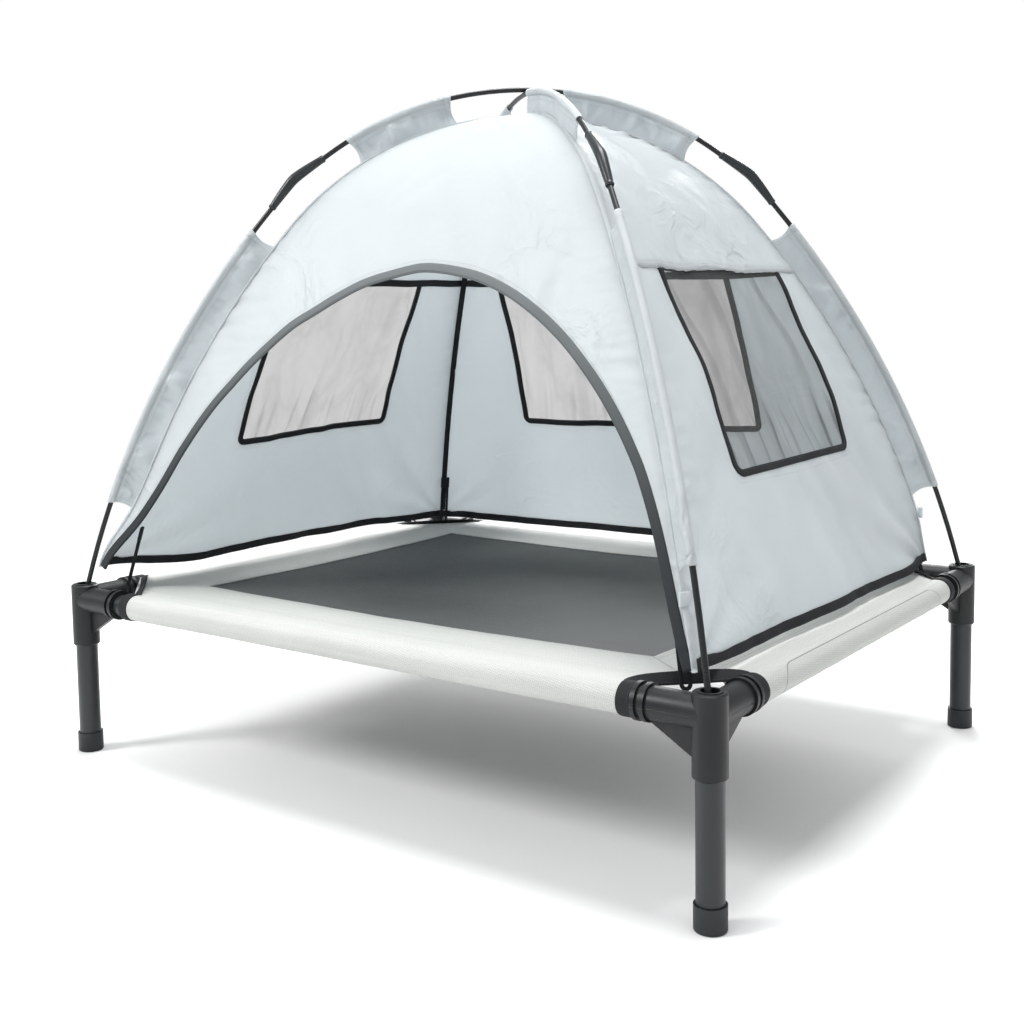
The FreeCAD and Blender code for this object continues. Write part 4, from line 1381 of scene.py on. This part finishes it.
    def build_window_side(self, gore: Gore, window: WindowShape) -> None:
        """A side with its window hanging from the crown seam.

        Args:
            gore: The side.
            window: The window's outline.
        """
        count = 130
        leg = np.linspace(0.0, 1.0, count + 1)
        fraction = self.seam_fraction * np.concatenate([1 - leg, np.zeros(count - 1), leg])
        half = gore.half_width(fraction)
        foot = np.linspace(1.0, -1.0, count + 1)[1:-1]
        side = np.concatenate([np.ones(count + 1), foot, -np.ones(count + 1)])
        skin = Skin()
        gore.patch(skin, self.window_line(window, 1.5 * MM, count), (side * half, fraction), 34)
        panel = skin.build(f"tent_{gore.name}", Body.CANOPY, Slot.TENT, self.wardrobe.panel,
                           [f"tent_{gore.name}_panel"], self.cloth)
        self.sheet(skin)
        self.build_crown(gore)
        self.build_gauze(gore, window)
        across, fraction = self.window_line(window, self.window_binding / 2, 90, 3.5 * MM)
        path = gore.place(across, fraction, -self.cloth / 2)
        skin = Skin()
        carry(skin, path, gore.normal(fraction), oval(self.window_binding, 3.0 * MM))
        skin.build(f"{gore.name}_window_edging", Body.CANOPY, Slot.BINDING,
                   self.wardrobe.by_slot[Slot.BINDING], [f"{gore.name}_window_binding"])

    def build_crown(self, gore: Gore) -> None:
        """The cloth above the crown seam, lapped over the panel, and the tape inside the seam.

        Args:
            gore: The side.
        """
        lap = 4.0 * MM / self.profile.length
        fraction = np.linspace(self.seam_fraction - lap, 1.0, 90)
        share = np.linspace(-1.0, 1.0, 181)[:, None]
        across = share * gore.half_width(fraction)
        fractions = np.broadcast_to(fraction, across.shape)
        up = (fraction - fraction[0]) * self.profile.length
        lift = np.broadcast_to(1.1 * MM * np.exp(-(up / (11 * MM)) ** 2), across.shape)
        edging = np.stack([across, np.broadcast_to(up, across.shape),
                           gore.half_width(fractions) - np.abs(across)], axis=-1)
        skin = Skin().grid(gore.place(across, fractions, lift), gore.chart(across, fractions), edging)
        crown = skin.build(f"tent_{gore.name}_top", Body.CANOPY, Slot.TENT, self.wardrobe.crown,
                           [f"tent_{gore.name}_crown"], self.cloth)
        self.sheet(skin)
        width = float(gore.half_width(self.seam_fraction)) - 1.5 * MM
        across = np.linspace(-width, width, 121)
        fraction = np.full_like(across, self.seam_fraction)
        skin = Skin()
        carry(skin, gore.place(across, fraction, -2.0 * MM), gore.normal(fraction), oval(9 * MM, 1.2 * MM))
        skin.build(f"crown_tape_{gore.name}", Body.CANOPY, Slot.BINDING,
                   self.wardrobe.by_slot[Slot.BINDING])

    def build_gauze(self, gore: Gore, window: WindowShape) -> None:
        """The window's netting, billowing a little inward with soft hanging folds.

        Its half width shrinks by r - sqrt(r^2 - (r - h)^2) at a height h under
        the rounding's radius r.

        Args:
            gore: The side.
            window: The window's outline.
        """
        inset = 2.0 * MM
        low, radius = window.foot + inset, window.rounding
        height = np.concatenate([low + np.linspace(0.0, 1.0, 20, endpoint=False) ** 2 * radius,
                                 np.linspace(low + radius, self.crown_seam + 1 * MM, 90)])
        rise = (height - low) / (self.crown_seam - low)
        short = np.clip(radius - (height - low), 0.0, radius)
        half = window.half_foot + (window.half_top - window.half_foot) * rise - inset
        half = half - (radius - np.sqrt(radius ** 2 - short ** 2))
        share = np.linspace(-1.0, 1.0, 160)[:, None]
        slide = window.slide_foot + (window.slide_top - window.slide_foot) * rise
        across = share * half + slide
        level = height + window.tilt * share * (1 - np.clip(rise, 0.0, 1.0))
        fraction = self.profile.fraction(level)
        up = fraction * self.profile.length
        edge = (1 - share ** 2) ** 0.7 * np.sin(math.pi * np.clip(rise, 0.0, 1.0)) ** 0.5
        hang = ripples(across, 0.3 * up, gore.drape.seed + 50, 80 * MM, 16 * MM, 10, 0.25, 0.9)
        foot_fan = across * (1 + 0.9 * (up - up[:, :1]))
        pleats = ripples(foot_fan, 0.15 * up, gore.drape.seed + 70, 34 * MM, 9 * MM, 8, 0.2, 0.5)
        low_band = np.exp(-((rise - 0.12) / 0.2) ** 2)
        push = -self.cloth / 2 + edge * (-3.0 * MM + 2.2 * MM * hang + 2.0 * MM * low_band * pleats)
        tone = np.clip(low_band * pleats - 0.25, 0.0, 1.0) + 0.5 * np.clip(hang - 0.35, 0.0, 1.0)
        edging = np.stack([window.pleats * tone, up, up], axis=-1)
        skin = Skin().grid(gore.place(across, fraction, push), gore.chart(across, fraction), edging)
        gauze = skin.build(f"{gore.name}_window_gauze", Body.CANOPY, Slot.GAUZE,
                           self.wardrobe.by_slot[Slot.GAUZE], [f"{gore.name}_window_mesh"])
        self.sheet(skin)

    def build_hem(self) -> None:
        """The tape round the hem of the left, back and right sides, bent round two corners."""
        path, facing = [], []
        fraction = float(self.profile.fraction(self.hem_height + self.hem_width / 2))
        for name in ("right", "back", "left"):
            gore = self.sides[name]
            half = float(gore.half_width(fraction)) - 1.2 * MM
            across = np.linspace(-half, half, 220)
            fractions = np.full_like(across, fraction)
            path.append(gore.place(across, fractions, -self.cloth / 2))
            facing.append(gore.normal(fractions))
        skin = Skin()
        carry(skin, np.concatenate(path), np.concatenate(facing), oval(self.hem_width, 3.2 * MM))
        skin.build("hem_edging", Body.CANOPY, Slot.BINDING, self.wardrobe.by_slot[Slot.BINDING],
                   ["hem_binding"])

    def build_corner_seams(self) -> None:
        """A felled ridge outside each corner seam and a dark tape inside it."""
        fraction = np.linspace(0.0, 0.985, 220)
        reach, height, lean = self.profile.at(fraction)
        ridge, tape = Skin(), Skin()
        for corner in Corner:
            outward = unit(np.array([corner.value[0] * self.post_x, corner.value[1] * self.post_y, 0.0]))
            line = reach[:, None] * outward + height[:, None] * UP
            for tug in self.tugs:
                line = tug(line)
            facing = np.cos(lean)[:, None] * outward + np.sin(lean)[:, None] * UP
            carry(ridge, line - facing * 0.3 * MM, facing, oval(5.0 * MM, 2.2 * MM, 14, 0.8))
            carry(tape, line[4:] - facing[4:] * 6.6 * MM, facing[4:], oval(7.0 * MM, 1.2 * MM, 14))
        ridge.build("corner_seams", Body.CANOPY, Slot.TENT, self.wardrobe.by_slot[Slot.TENT])
        tape.build("corner_seam_tapes", Body.CANOPY, Slot.BINDING, self.wardrobe.by_slot[Slot.BINDING])


@dataclass
class Suspension:
    """What joins the tent to its poles: sleeve fins, elbows, loops and their finishes."""

    wardrobe: Wardrobe
    post_x: float
    post_y: float
    top_pole: PoleLine
    under_pole: PoleLine
    rod_radius: float = 2.5 * MM
    fin_depth: float = 26.0 * MM
    bare_rod: float = 24.0 * MM
    fin_foot: float = 264.0 * MM
    sleeve_radius: float = 3.7 * MM
    elbow_reach: float = 38.0 * MM
    loop_length: float = 66.0 * MM
    loop_width: float = 10.5 * MM
    loop_band: float = 3.4 * MM
    loop_top: float = 230.0 * MM
    loop_lean: float = math.radians(15.7)
    loop_inset: float = 14.0 * MM

    def stops(self) -> dict[Corner, float]:
        """How far from the middle each upper fin stops."""
        return {Corner.FRONT_LEFT: 74 * MM, Corner.FRONT_RIGHT: 24 * MM,
                Corner.BACK_LEFT: 50 * MM, Corner.BACK_RIGHT: 42 * MM}

    def pole(self, corner: Corner) -> PoleLine:
        """The pole that stands in a corner's post."""
        return self.top_pole if corner in (Corner.FRONT_LEFT, Corner.BACK_RIGHT) else self.under_pole

    def outward(self, corner: Corner) -> np.ndarray:
        """The way from the middle to a corner."""
        return unit(np.array([corner.value[0] * self.post_x, corner.value[1] * self.post_y, 0.0]))

    def build(self) -> None:
        """Build and dress everything on the poles."""
        for corner in Corner:
            pole = self.pole(corner)
            upper, lower = pole.radii
            foot = math.asin((self.fin_foot - pole.lower_centre.imag) / lower)
            self.build_fin(f"lower_fin_{corner.word}", corner, pole.lower_centre, lower, foot,
                           pole.low_lean - self.bare_rod / lower)
            stop = math.acos(self.stops()[corner] / upper)
            self.build_fin(f"upper_fin_{corner.word}", corner, pole.upper_centre, upper,
                           pole.high_lean + self.bare_rod / upper, stop)
            self.build_elbow(corner)
            self.build_loop(corner)
            self.wardrobe.dress_node(f"lower_rod_{corner.word}", Slot.ROD)
        for node in ("upper_rod_left_front_to_right_back", "upper_rod_right_front_to_left_back"):
            self.wardrobe.dress_node(node, Slot.ROD)
        self.wardrobe.dress_node("pole_foot_tips", Slot.FITTING)

    def build_fin(self, node: str, corner: Corner, centre: complex, radius: float,
                  start: float, end: float) -> None:
        """A doubled strip of cloth from the corner seam out to a sleeve round the pole.

        Point = centre + (radius - depth) e^(i lean) in the pole's plane, moved
        sideways by the section's own half thickness and by a slow wave.

        Args:
            node: The node that it stands for.
            corner: Its corner.
            centre: Centre of the pole's arc.
            radius: Radius of the pole's arc.
            start: Lean at its lower end.
            end: Lean at its upper end.
        """
        outward = self.outward(corner)
        lateral = np.cross(UP, outward)
        half = 0.55 * MM
        begin = math.pi - math.asin(half / self.sleeve_radius)
        round_rod = np.linspace(begin, -begin, 19)
        flat = np.linspace(self.fin_depth + 1.6 * MM, self.sleeve_radius, 15)[:-1]
        depth = np.concatenate([flat, -self.sleeve_radius * np.cos(round_rod), flat[::-1]])
        aside = np.concatenate([np.full_like(flat, half), self.sleeve_radius * np.sin(round_rod),
                                np.full_like(flat, -half)])
        length = (end - start) * radius
        way = np.linspace(0.0, 1.0, max(40, int(length / (2.0 * MM))))
        inside = np.sin(math.pi * np.clip(depth / self.fin_depth, 0.0, 1.0))
        hollow = 3.2 * MM * inside / length
        fraction = hollow + way[:, None] * (1 - 2 * hollow)
        lean = start + (end - start) * fraction
        run = fraction * length
        seed = sum(map(ord, node))
        wave = ripples(run, 0.3 * depth + 0 * run, seed, 120 * MM, 30 * MM, 7, 0.0, 0.7)
        pucker = ripples(run, depth + 0 * run, seed + 3, 26 * MM, 9 * MM, 7, 0.0, 1.2)
        near_sleeve = np.exp(-((depth - 8 * MM) / (6 * MM)) ** 2)
        near_seam = np.exp(-((depth - self.fin_depth + 6 * MM) / (6 * MM)) ** 2)
        sway = inside * 3.0 * MM * wave + inside * (near_sleeve + near_seam) * 1.1 * MM * pucker
        swell = 1 + 0.5 * near_sleeve * inside * pucker * 0.4
        line = centre + (radius - depth) * np.exp(1j * lean)
        points = (line.real[..., None] * outward + line.imag[..., None] * UP
                  + (aside * swell + sway)[..., None] * lateral)
        from_end = np.minimum(run, length - run)
        edging = np.stack([run + depth, np.broadcast_to(depth, run.shape), from_end], axis=-1)
        across = np.concatenate([[0.0], np.cumsum(np.hypot(np.diff(depth), np.diff(aside)))])
        skin = Skin().grid(points, np.stack([run, np.broadcast_to(across, run.shape)], axis=-1), edging)
        fin = skin.build(f"{node}_cloth", Body.CANOPY, Slot.TENT, self.wardrobe.fin, [node], 0.35 * MM)

    def build_elbow(self, corner: Corner) -> None:
        """A moulded elbow: a round sleeve that swells smoothly towards its kink.

        Its radius is r0 + (r1 - r0)(1 - |s|^1.5) with s from -1 to 1 along
        its two legs, with a lip at each mouth, and its line is rounded at the
        kink as sqrt(s^2 + c^2).

        Args:
            corner: Its corner.
        """
        pole = self.pole(corner)
        outward = self.outward(corner)
        share = np.concatenate([np.linspace(-1.0, -0.95, 7), np.linspace(-0.94, 0.94, 60),
                                np.linspace(0.95, 1.0, 7)])
        soft = 0.12
        up, down = 1j * np.exp(1j * pole.high_lean), -1j * np.exp(1j * pole.low_lean)
        bend = (np.sqrt(share ** 2 + soft ** 2) - soft) / (math.sqrt(1 + soft ** 2) - soft)
        line = pole.kink + self.elbow_reach * ((up - down) / 2 * share + (up + down) / 2 * bend)
        line = line - (up + down) / abs(up + down) * 1.0 * MM * (1 - share ** 2)
        radius = 3.5 * MM + 1.8 * MM * (1 - np.abs(share) ** 1.4)
        radius = radius + 0.45 * MM * np.exp(-((np.abs(share) - 0.955) / 0.025) ** 2)
        angle = np.linspace(0.0, 2 * math.pi, 28, endpoint=False)
        ring = np.stack([np.cos(angle), np.sin(angle)], axis=-1)
        path = line.real[:, None] * outward + line.imag[:, None] * UP
        skin = Skin()
        carry(skin, path, np.cross(UP, outward), radius[:, None, None] * ring)
        skin.build(f"elbow_{corner.word}", Body.CANOPY, Slot.FITTING, self.wardrobe.by_slot[Slot.FITTING],
                   [f"pole_elbow_{corner.word}"])

    def build_loop(self, corner: Corner) -> None:
        """A flat elastic loop hanging behind the post, sewn under a tab at the seam.

        Its line is a stadium: two straight sides and two half circles.

        Args:
            corner: Its corner.
        """
        outward = self.outward(corner)
        lateral = np.cross(UP, outward)
        down = math.sin(self.loop_lean) * outward - math.cos(self.loop_lean) * UP
        profile = SeamProfile(self.top_pole, self.fin_depth, self.loop_top)
        reach = float(profile.at(0.0)[0]) - self.loop_inset
        top = reach * outward + self.loop_top * UP
        round_radius = (self.loop_width - self.loop_band) / 2
        straight = self.loop_length / 2 - self.loop_width / 2
        half_turn = np.linspace(0.0, math.pi, 15)
        upper = np.stack([np.cos(half_turn), np.sin(half_turn)], axis=-1) * round_radius + (0, straight)
        lower = -upper
        sides = np.linspace(1.0, -1.0, 30)[1:-1, None]
        left = np.array([[-round_radius, straight]]) * np.concatenate([np.ones_like(sides), sides], axis=1)
        flat = np.concatenate([upper, left, lower, -left])
        centre = top + down * self.loop_length / 2
        path = centre + flat[:, :1] * lateral - flat[:, 1:] * down
        skin = Skin()
        carry(skin, path, np.cross(down, lateral), oval(self.loop_band, 2.2 * MM, 12, 0.8), closed_path=True)
        skin.build(f"elastic_{corner.word}", Body.CANOPY, Slot.ELASTIC, self.wardrobe.by_slot[Slot.ELASTIC],
                   [f"corner_loop_{corner.word}"])
        tab = Skin()
        seam = reach * outward + self.loop_inset * outward + (self.loop_top + 6 * MM) * UP
        facing = unit(outward + 0.2 * UP)
        heights = np.linspace(-5.5, 5.5, 12)[:, None] * MM * UP
        carry(tab, seam + heights, facing, oval(9 * MM, 3.6 * MM, 20, 0.5))
        tab.build(f"seam_tab_{corner.word}", Body.CANOPY, Slot.TENT, self.wardrobe.crown)
        patch = Skin()
        carry(patch, top + down * np.linspace(-7, 7, 9)[:, None] * MM, np.cross(down, lateral),
              oval(11.5 * MM, 2.6 * MM, 16, 0.4))
        patch.build(f"elastic_tab_{corner.word}", Body.CANOPY, Slot.WEBBING,
                    self.wardrobe.by_slot[Slot.WEBBING])


# ------------------------------------------------------------------ the cot

@dataclass
class Sling:
    """The fabric deck: a light border sleeved over the rails and a darker centre."""

    post_x: float
    post_y: float
    rail_height: float
    sleeve_radius: float = 12.7 * MM
    sleeve_start: float = 76.0 * MM
    notch_middle: float = 38.0 * MM
    bottom_turn: float = -118.0
    border_side: float = 96.0 * MM
    border_front: float = 86.0 * MM
    flap: float = 40.0 * MM
    cloth: float = 1.0 * MM
    sag: float = 11.0 * MM
    band_width: float = 12.5 * MM

    @property
    def top(self) -> float:
        """Height of the cloth over the rails."""
        return self.rail_height + self.sleeve_radius

    def start(self, corner: Corner, along_x: bool) -> float:
        """How far from a post's axis the sleeve on one of its rails begins.

        Args:
            corner: The post's corner.
            along_x: Whether the rail runs along X.

        Returns:
            The distance.
        """
        slipped = {(Corner.FRONT_LEFT, True): 6 * MM, (Corner.FRONT_RIGHT, True): -6 * MM,
                   (Corner.FRONT_RIGHT, False): -6 * MM, (Corner.FRONT_LEFT, False): -3 * MM}
        return self.sleeve_start + slipped.get((corner, along_x), 0.0)

    def section(self, wide: float) -> tuple[np.ndarray, np.ndarray, np.ndarray]:
        """Section of a border panel: the lower flap, the wrap round the rail and the flat top.

        Args:
            wide: Width of the flat top from the rail's axis.

        Returns:
            Distances inward, heights above the rail's axis, and distances
            inward over the flat top alone.
        """
        radius = self.sleeve_radius
        turn = np.radians(np.linspace(self.bottom_turn, 90.0, 44))
        flap = np.linspace(0.0, 1.0, 9)[:-1]
        low = (-radius * math.cos(turn[0]), radius * math.sin(turn[0]))
        lower_in = self.flap + (low[0] - self.flap) * flap
        lower_up = (radius - 2.2 * MM) + (low[1] - radius + 2.2 * MM) * flap ** 1.15
        inboard = np.linspace(0.0, wide, 26)[1:]
        inward = np.concatenate([lower_in, -radius * np.cos(turn), inboard])
        height = np.concatenate([lower_up, radius * np.sin(turn), np.full_like(inboard, radius)])
        return inward, height, np.concatenate([np.zeros(len(flap) + len(turn)), inboard])

    @property
    def round_to_top(self) -> float:
        """Distance round the section from the flap's edge to the top of the rail."""
        inward, height, _ = self.section(0.1)
        travelled = np.concatenate([[0.0], np.cumsum(np.hypot(np.diff(inward), np.diff(height)))])
        return float(travelled[-1] - 0.1)

    def sink(self, x: np.ndarray, y: np.ndarray) -> np.ndarray:
        """How far the deck hangs below the rails' tops: sag (1 - x^2)(1 - y^2), with small waves.

        Args:
            x: Places along X.
            y: Places along Y.

        Returns:
            The drop, positive down.
        """
        across = np.clip(1 - (x / self.post_x) ** 2, 0.0, 1.0)
        deep = np.clip(1 - (y / self.post_y) ** 2, 0.0, 1.0)
        wave = ripples(x, y, 5, 240 * MM, 60 * MM, 9)
        return across ** 0.8 * deep ** 0.8 * (self.sag + 0.7 * MM * wave)

    def build(self, wardrobe: Wardrobe) -> None:
        """Build the border, the centre and the corner webbing.

        Args:
            wardrobe: The finishes.
        """
        skin = Skin()
        for outward, near, along, wide, inner_wide in (
                ((0, -1), self.post_y, self.post_x, self.border_front, self.border_side),
                ((0, 1), self.post_y, self.post_x, self.border_front, self.border_side),
                ((1, 0), self.post_x, self.post_y, self.border_side, self.border_front),
                ((-1, 0), self.post_x, self.post_y, self.border_side, self.border_front)):
            self.add_border(skin, np.array([*outward, 0.0]), near, along, wide, inner_wide)
        border = skin.build("deck_border", Body.FRAME, Slot.BORDER, wardrobe.by_slot[Slot.BORDER],
                            ["sling_border"], self.cloth)
        size = (2 * (self.post_x + 40 * MM), 2 * (self.post_y + 40 * MM))
        skin.area()
        x = np.linspace(-1, 1, 140)[:, None] * (self.post_x - self.border_side + 7 * MM)
        y = np.linspace(-1, 1, 110)[None, :] * (self.post_y - self.border_front + 7 * MM)
        x, y = np.broadcast_arrays(x, y)
        points = np.stack([x, y, self.top - 1.3 * MM - self.sink(x, y)], axis=-1)
        skin = Skin().grid(points, points[..., :2])
        centre = skin.build("deck_centre", Body.FRAME, Slot.SLING, wardrobe.by_slot[Slot.SLING],
                            ["sling_mesh"], self.cloth)
        for corner in Corner:
            self.build_webbing(corner, wardrobe)

    def add_border(self, skin: Skin, outward: np.ndarray, near: float, along: float,
                   wide: float, inner_wide: float) -> None:
        """One border panel and its sleeve.

        Only the short rails' sleeves have a second layer: elsewhere the run is
        shifted under zero, which leaves it out.  The section runs from the
        sewn lower flap, under and round the rail, over its top and in to the
        seam with the centre.  A row's end follows
        the mitre between two panels and then the corner's diagonal edge.

        Args:
            skin: Takes the panel.
            outward: Which way the panel faces.
            near: Distance from the middle to the rail's axis.
            along: Distance from the middle to the posts' axes.
            wide: Width of this panel's border.
            inner_wide: Width of the neighbouring border.
        """
        across = np.cross(UP, outward)
        radius = self.sleeve_radius
        inward, height, on_top = self.section(wide)
        mitre = (inner_wide - self.notch_middle) / (wide - self.notch_middle)
        share = np.linspace(-1.0, 1.0, 170)[:, None]
        ends = []
        for side in (-1, 1):
            way = outward + side * across
            corner = Corner((int(round(way[0])), int(round(way[1]))))
            start = self.start(corner, abs(outward[1]) > 0.5)
            slope = (start - self.notch_middle) / self.notch_middle
            short = np.where(on_top < self.notch_middle, start - on_top * slope,
                             self.notch_middle + (on_top - self.notch_middle) * mitre)
            ends.append(side * (along - short))
        place = ends[0] + (ends[1] - ends[0]) * (share + 1) / 2
        out = near - np.broadcast_to(inward, place.shape)
        flat = out[..., None] * outward + place[..., None] * across
        rounding = np.clip((height + radius) / (2 * radius), 0.0, 1.0) ** 4
        drop = self.sink(flat[..., 0], flat[..., 1]) * np.broadcast_to(rounding, place.shape)
        slack = 0.45 * MM * ripples(place, 3 * inward + 0 * place, int(near * 1000), 130 * MM, 35 * MM, 7)
        slack = slack * np.broadcast_to(1 - rounding, place.shape)
        points = flat + (self.rail_height + height - drop)[..., None] * UP + slack[..., None] * outward
        travelled = np.concatenate([[0.0], np.cumsum(np.hypot(np.diff(inward), np.diff(height)))])
        travelled = np.broadcast_to(travelled, place.shape)
        chart = np.stack([place, travelled], axis=-1)
        from_end = np.minimum(place - ends[0], ends[1] - place)
        run = from_end if abs(outward[0]) > 0.5 else from_end - 10.0
        edging = np.stack([run, travelled[0, -1] - travelled, travelled], axis=-1)
        skin.grid(points, chart, edging)

    def build_webbing(self, corner: Corner, wardrobe: Wardrobe) -> None:
        """Two bands round the sleeve ends and the strap along the border's cut corner.

        Args:
            corner: Its corner.
            wardrobe: The finishes.
        """
        side_x, side_y = corner.value
        post = np.array([side_x * self.post_x, side_y * self.post_y, self.rail_height])
        ways = (np.array([-side_x, 0.0, 0.0]), np.array([0.0, -side_y, 0.0]))
        outs = (np.array([0.0, side_y, 0.0]), np.array([side_x, 0.0, 0.0]))
        starts = (self.start(corner, True), self.start(corner, False))
        skin = Skin()
        angle = np.linspace(0.0, 2 * math.pi, 48, endpoint=False)[:, None]
        for way, out, start in zip(ways, outs, starts):
            facing = np.cos(angle) * out + np.sin(angle) * UP
            path = post + way * (start - 3.5 * MM) + facing * (self.sleeve_radius + 0.35 * MM)
            carry(skin, path, facing, oval(self.band_width, 1.5 * MM, 16), closed_path=True)
        ends = [post + way * (start + 1.5 * MM) for way, start in zip(ways, starts)]
        share = np.linspace(0.0, 1.0, 60)[:, None]
        dip = -2.2 * MM * (2 * share - 1) ** 6 - 0.6 * MM * np.sin(math.pi * share)
        bow = unit(np.array([side_x, side_y, 0.0]))
        slack = -3.0 * MM * np.sin(math.pi * share) * bow
        path = ends[0] * (1 - share) + ends[1] * share + (self.sleeve_radius + dip) * UP + slack
        facing = UP + 0.85 * np.sin(math.pi * share) ** 0.5 * bow
        carry(skin, path, facing, oval(12.5 * MM, 2.0 * MM, 16))
        skin.build(f"corner_webbing_{corner.word}", Body.FRAME, Slot.WEBBING,
                   wardrobe.by_slot[Slot.WEBBING], [f"corner_binding_{corner.word}"])


@dataclass
class Frame:
    """The rigid cot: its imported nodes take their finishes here."""

    wardrobe: Wardrobe

    def dress(self) -> None:
        """Dress connectors, legs, feet and rails."""
        for corner in Corner:
            self.wardrobe.dress_node(f"corner_connector_{corner.word}", Slot.CONNECTOR)
            self.wardrobe.dress_node(f"leg_tube_{corner.word}", Slot.TUBE)
            self.wardrobe.dress_node(f"foot_cap_{corner.word}", Slot.FOOT)
        for rail in ("rail_front", "rail_back", "rail_left", "rail_right"):
            self.wardrobe.dress_node(rail, Slot.TUBE)
        LOG.info("frame dressed")


# ------------------------------------------------------------------ studio

@dataclass(frozen=True)
class Softbox:
    """A large soft light aimed at the cot."""

    name: str
    place: tuple[float, float, float]
    size: float
    power: float
    aim: tuple[float, float, float] = (0.0, 0.0, 0.35)

    def build(self) -> None:
        """Hang the light."""
        lamp = bpy.data.lights.new(self.name, "AREA")
        lamp.shape = "DISK"
        lamp.size = self.size
        lamp.energy = self.power
        holder = bpy.data.objects.new(self.name, lamp)
        away = Vector(self.place) - Vector(self.aim)
        turn = away.to_track_quat("Z", "Y").to_matrix().to_4x4()
        holder.matrix_world = Matrix.Translation(self.place) @ turn
        bpy.context.scene.collection.objects.link(holder)


@dataclass
class Studio:
    """Floor, light and viewpoint."""

    azimuth: float = math.radians(36.209)
    elevation: float = math.radians(4.647)
    roll: float = math.radians(-0.828)
    distance: float = 1.389653
    target: tuple[float, float, float] = (0.0, 0.0, 0.178)
    shift_right: float = -18.066 * MM
    shift_up: float = 153.891 * MM
    lens: float = 45.742
    frame_shift: float = -0.0801

    def build(self) -> None:
        """Build the whole studio."""
        self.build_floor()
        self.build_light()
        self.build_camera()
        bpy.context.scene.view_settings.view_transform = "Standard"

    def build_floor(self) -> None:
        """A plain round floor far wider than the view."""
        mesh = bpy.data.meshes.new("floor")
        angle = np.linspace(0.0, 2 * math.pi, 64, endpoint=False)
        rim = np.stack([30 * np.cos(angle), 30 * np.sin(angle), 0 * angle], axis=-1)
        mesh.from_pydata(rim.tolist(), [], [list(range(64))])
        mesh.materials.append(StudioFloor().make())
        floor = bpy.data.objects.new("floor", mesh)
        bpy.context.scene.collection.objects.link(floor)

    def build_light(self) -> None:
        """A bright pale surround and three softboxes."""
        world = bpy.data.worlds.new("surround")
        world.use_nodes = True
        tree = world.node_tree
        paper = tree.nodes["Background"]
        paper.inputs["Color"].default_value = (0.97, 0.985, 1.0, 1.0)
        paper.inputs["Strength"].default_value = 0.60
        seen = tree.nodes.new("ShaderNodeBackground")
        seen.inputs["Color"].default_value = (1.0, 1.0, 1.0, 1.0)
        path = tree.nodes.new("ShaderNodeLightPath")
        mix = tree.nodes.new("ShaderNodeMixShader")
        tree.links.new(path.outputs["Is Camera Ray"], mix.inputs[0])
        tree.links.new(paper.outputs[0], mix.inputs[1])
        tree.links.new(seen.outputs[0], mix.inputs[2])
        tree.links.new(mix.outputs[0], tree.nodes["World Output"].inputs["Surface"])
        bpy.context.scene.world = world
        Softbox("key_softbox", (-1.9, -2.6, 2.5), 1.1, 88.0).build()
        Softbox("back_softbox", (-1.4, 2.8, 1.8), 2.0, 95.0).build()
        Softbox("top_softbox", (0.15, 0.1, 3.2), 1.5, 92.0).build()

    def build_camera(self) -> None:
        """Stand the camera: back along azimuth and elevation, rolled, then shifted in its plane."""
        azimuth, elevation = self.azimuth, self.elevation
        back = Vector((math.sin(azimuth) * math.cos(elevation), -math.cos(azimuth) * math.cos(elevation),
                       math.sin(elevation)))
        level = (-back).cross(Vector((0, 0, 1))).normalized()
        upright = level.cross(-back)
        right = math.cos(self.roll) * level + math.sin(self.roll) * upright
        up = math.cos(self.roll) * upright - math.sin(self.roll) * level
        place = Vector(self.target) + back * self.distance + right * self.shift_right + up * self.shift_up
        lens = bpy.data.cameras.new("view")
        lens.lens = self.lens
        lens.sensor_width = 36.0
        lens.shift_y = self.frame_shift
        camera = bpy.data.objects.new("view", lens)
        camera.matrix_world = Matrix.Translation(place) @ Matrix((right, up, back)).transposed().to_4x4()
        bpy.context.scene.collection.objects.link(camera)
        bpy.context.scene.camera = camera


def centre_of(node: str) -> tuple[float, float, float]:
    """Middle of a node's box."""
    low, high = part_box(node)
    return tuple((a + b) / 2 for a, b in zip(low, high))


def main() -> None:
    """Build the cot in order: frame, sling, poles, tent and studio."""
    logging.basicConfig(level=logging.INFO, format="%(name)s: %(message)s")
    post_x, post_y, _ = centre_of("leg_tube_back_right")
    sling = Sling(post_x, post_y, centre_of("rail_front")[2])
    top = sling.round_to_top
    wardrobe = Wardrobe((post_x, post_y), top - 6 * MM, (top + 27 * MM, top + 32 * MM))
    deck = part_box("corner_connector_back_right")[1][2] - 0.8 * MM
    foot_height = deck - 15.0 * MM
    span = math.hypot(post_x, post_y)
    rod_radius = 2.5 * MM
    top_pole = PoleLine(span, foot_height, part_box("upper_rod_left_front_to_right_back")[1][2] - rod_radius)
    under_pole = PoleLine(span, foot_height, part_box("upper_rod_right_front_to_left_back")[1][2] - rod_radius)
    Frame(wardrobe).dress()
    sling.build(wardrobe)
    Suspension(wardrobe, post_x, post_y, top_pole, under_pole).build()
    Tent(wardrobe, post_x, post_y, top_pole).build()
    Studio().build()


if __name__ == "__main__":
    main()
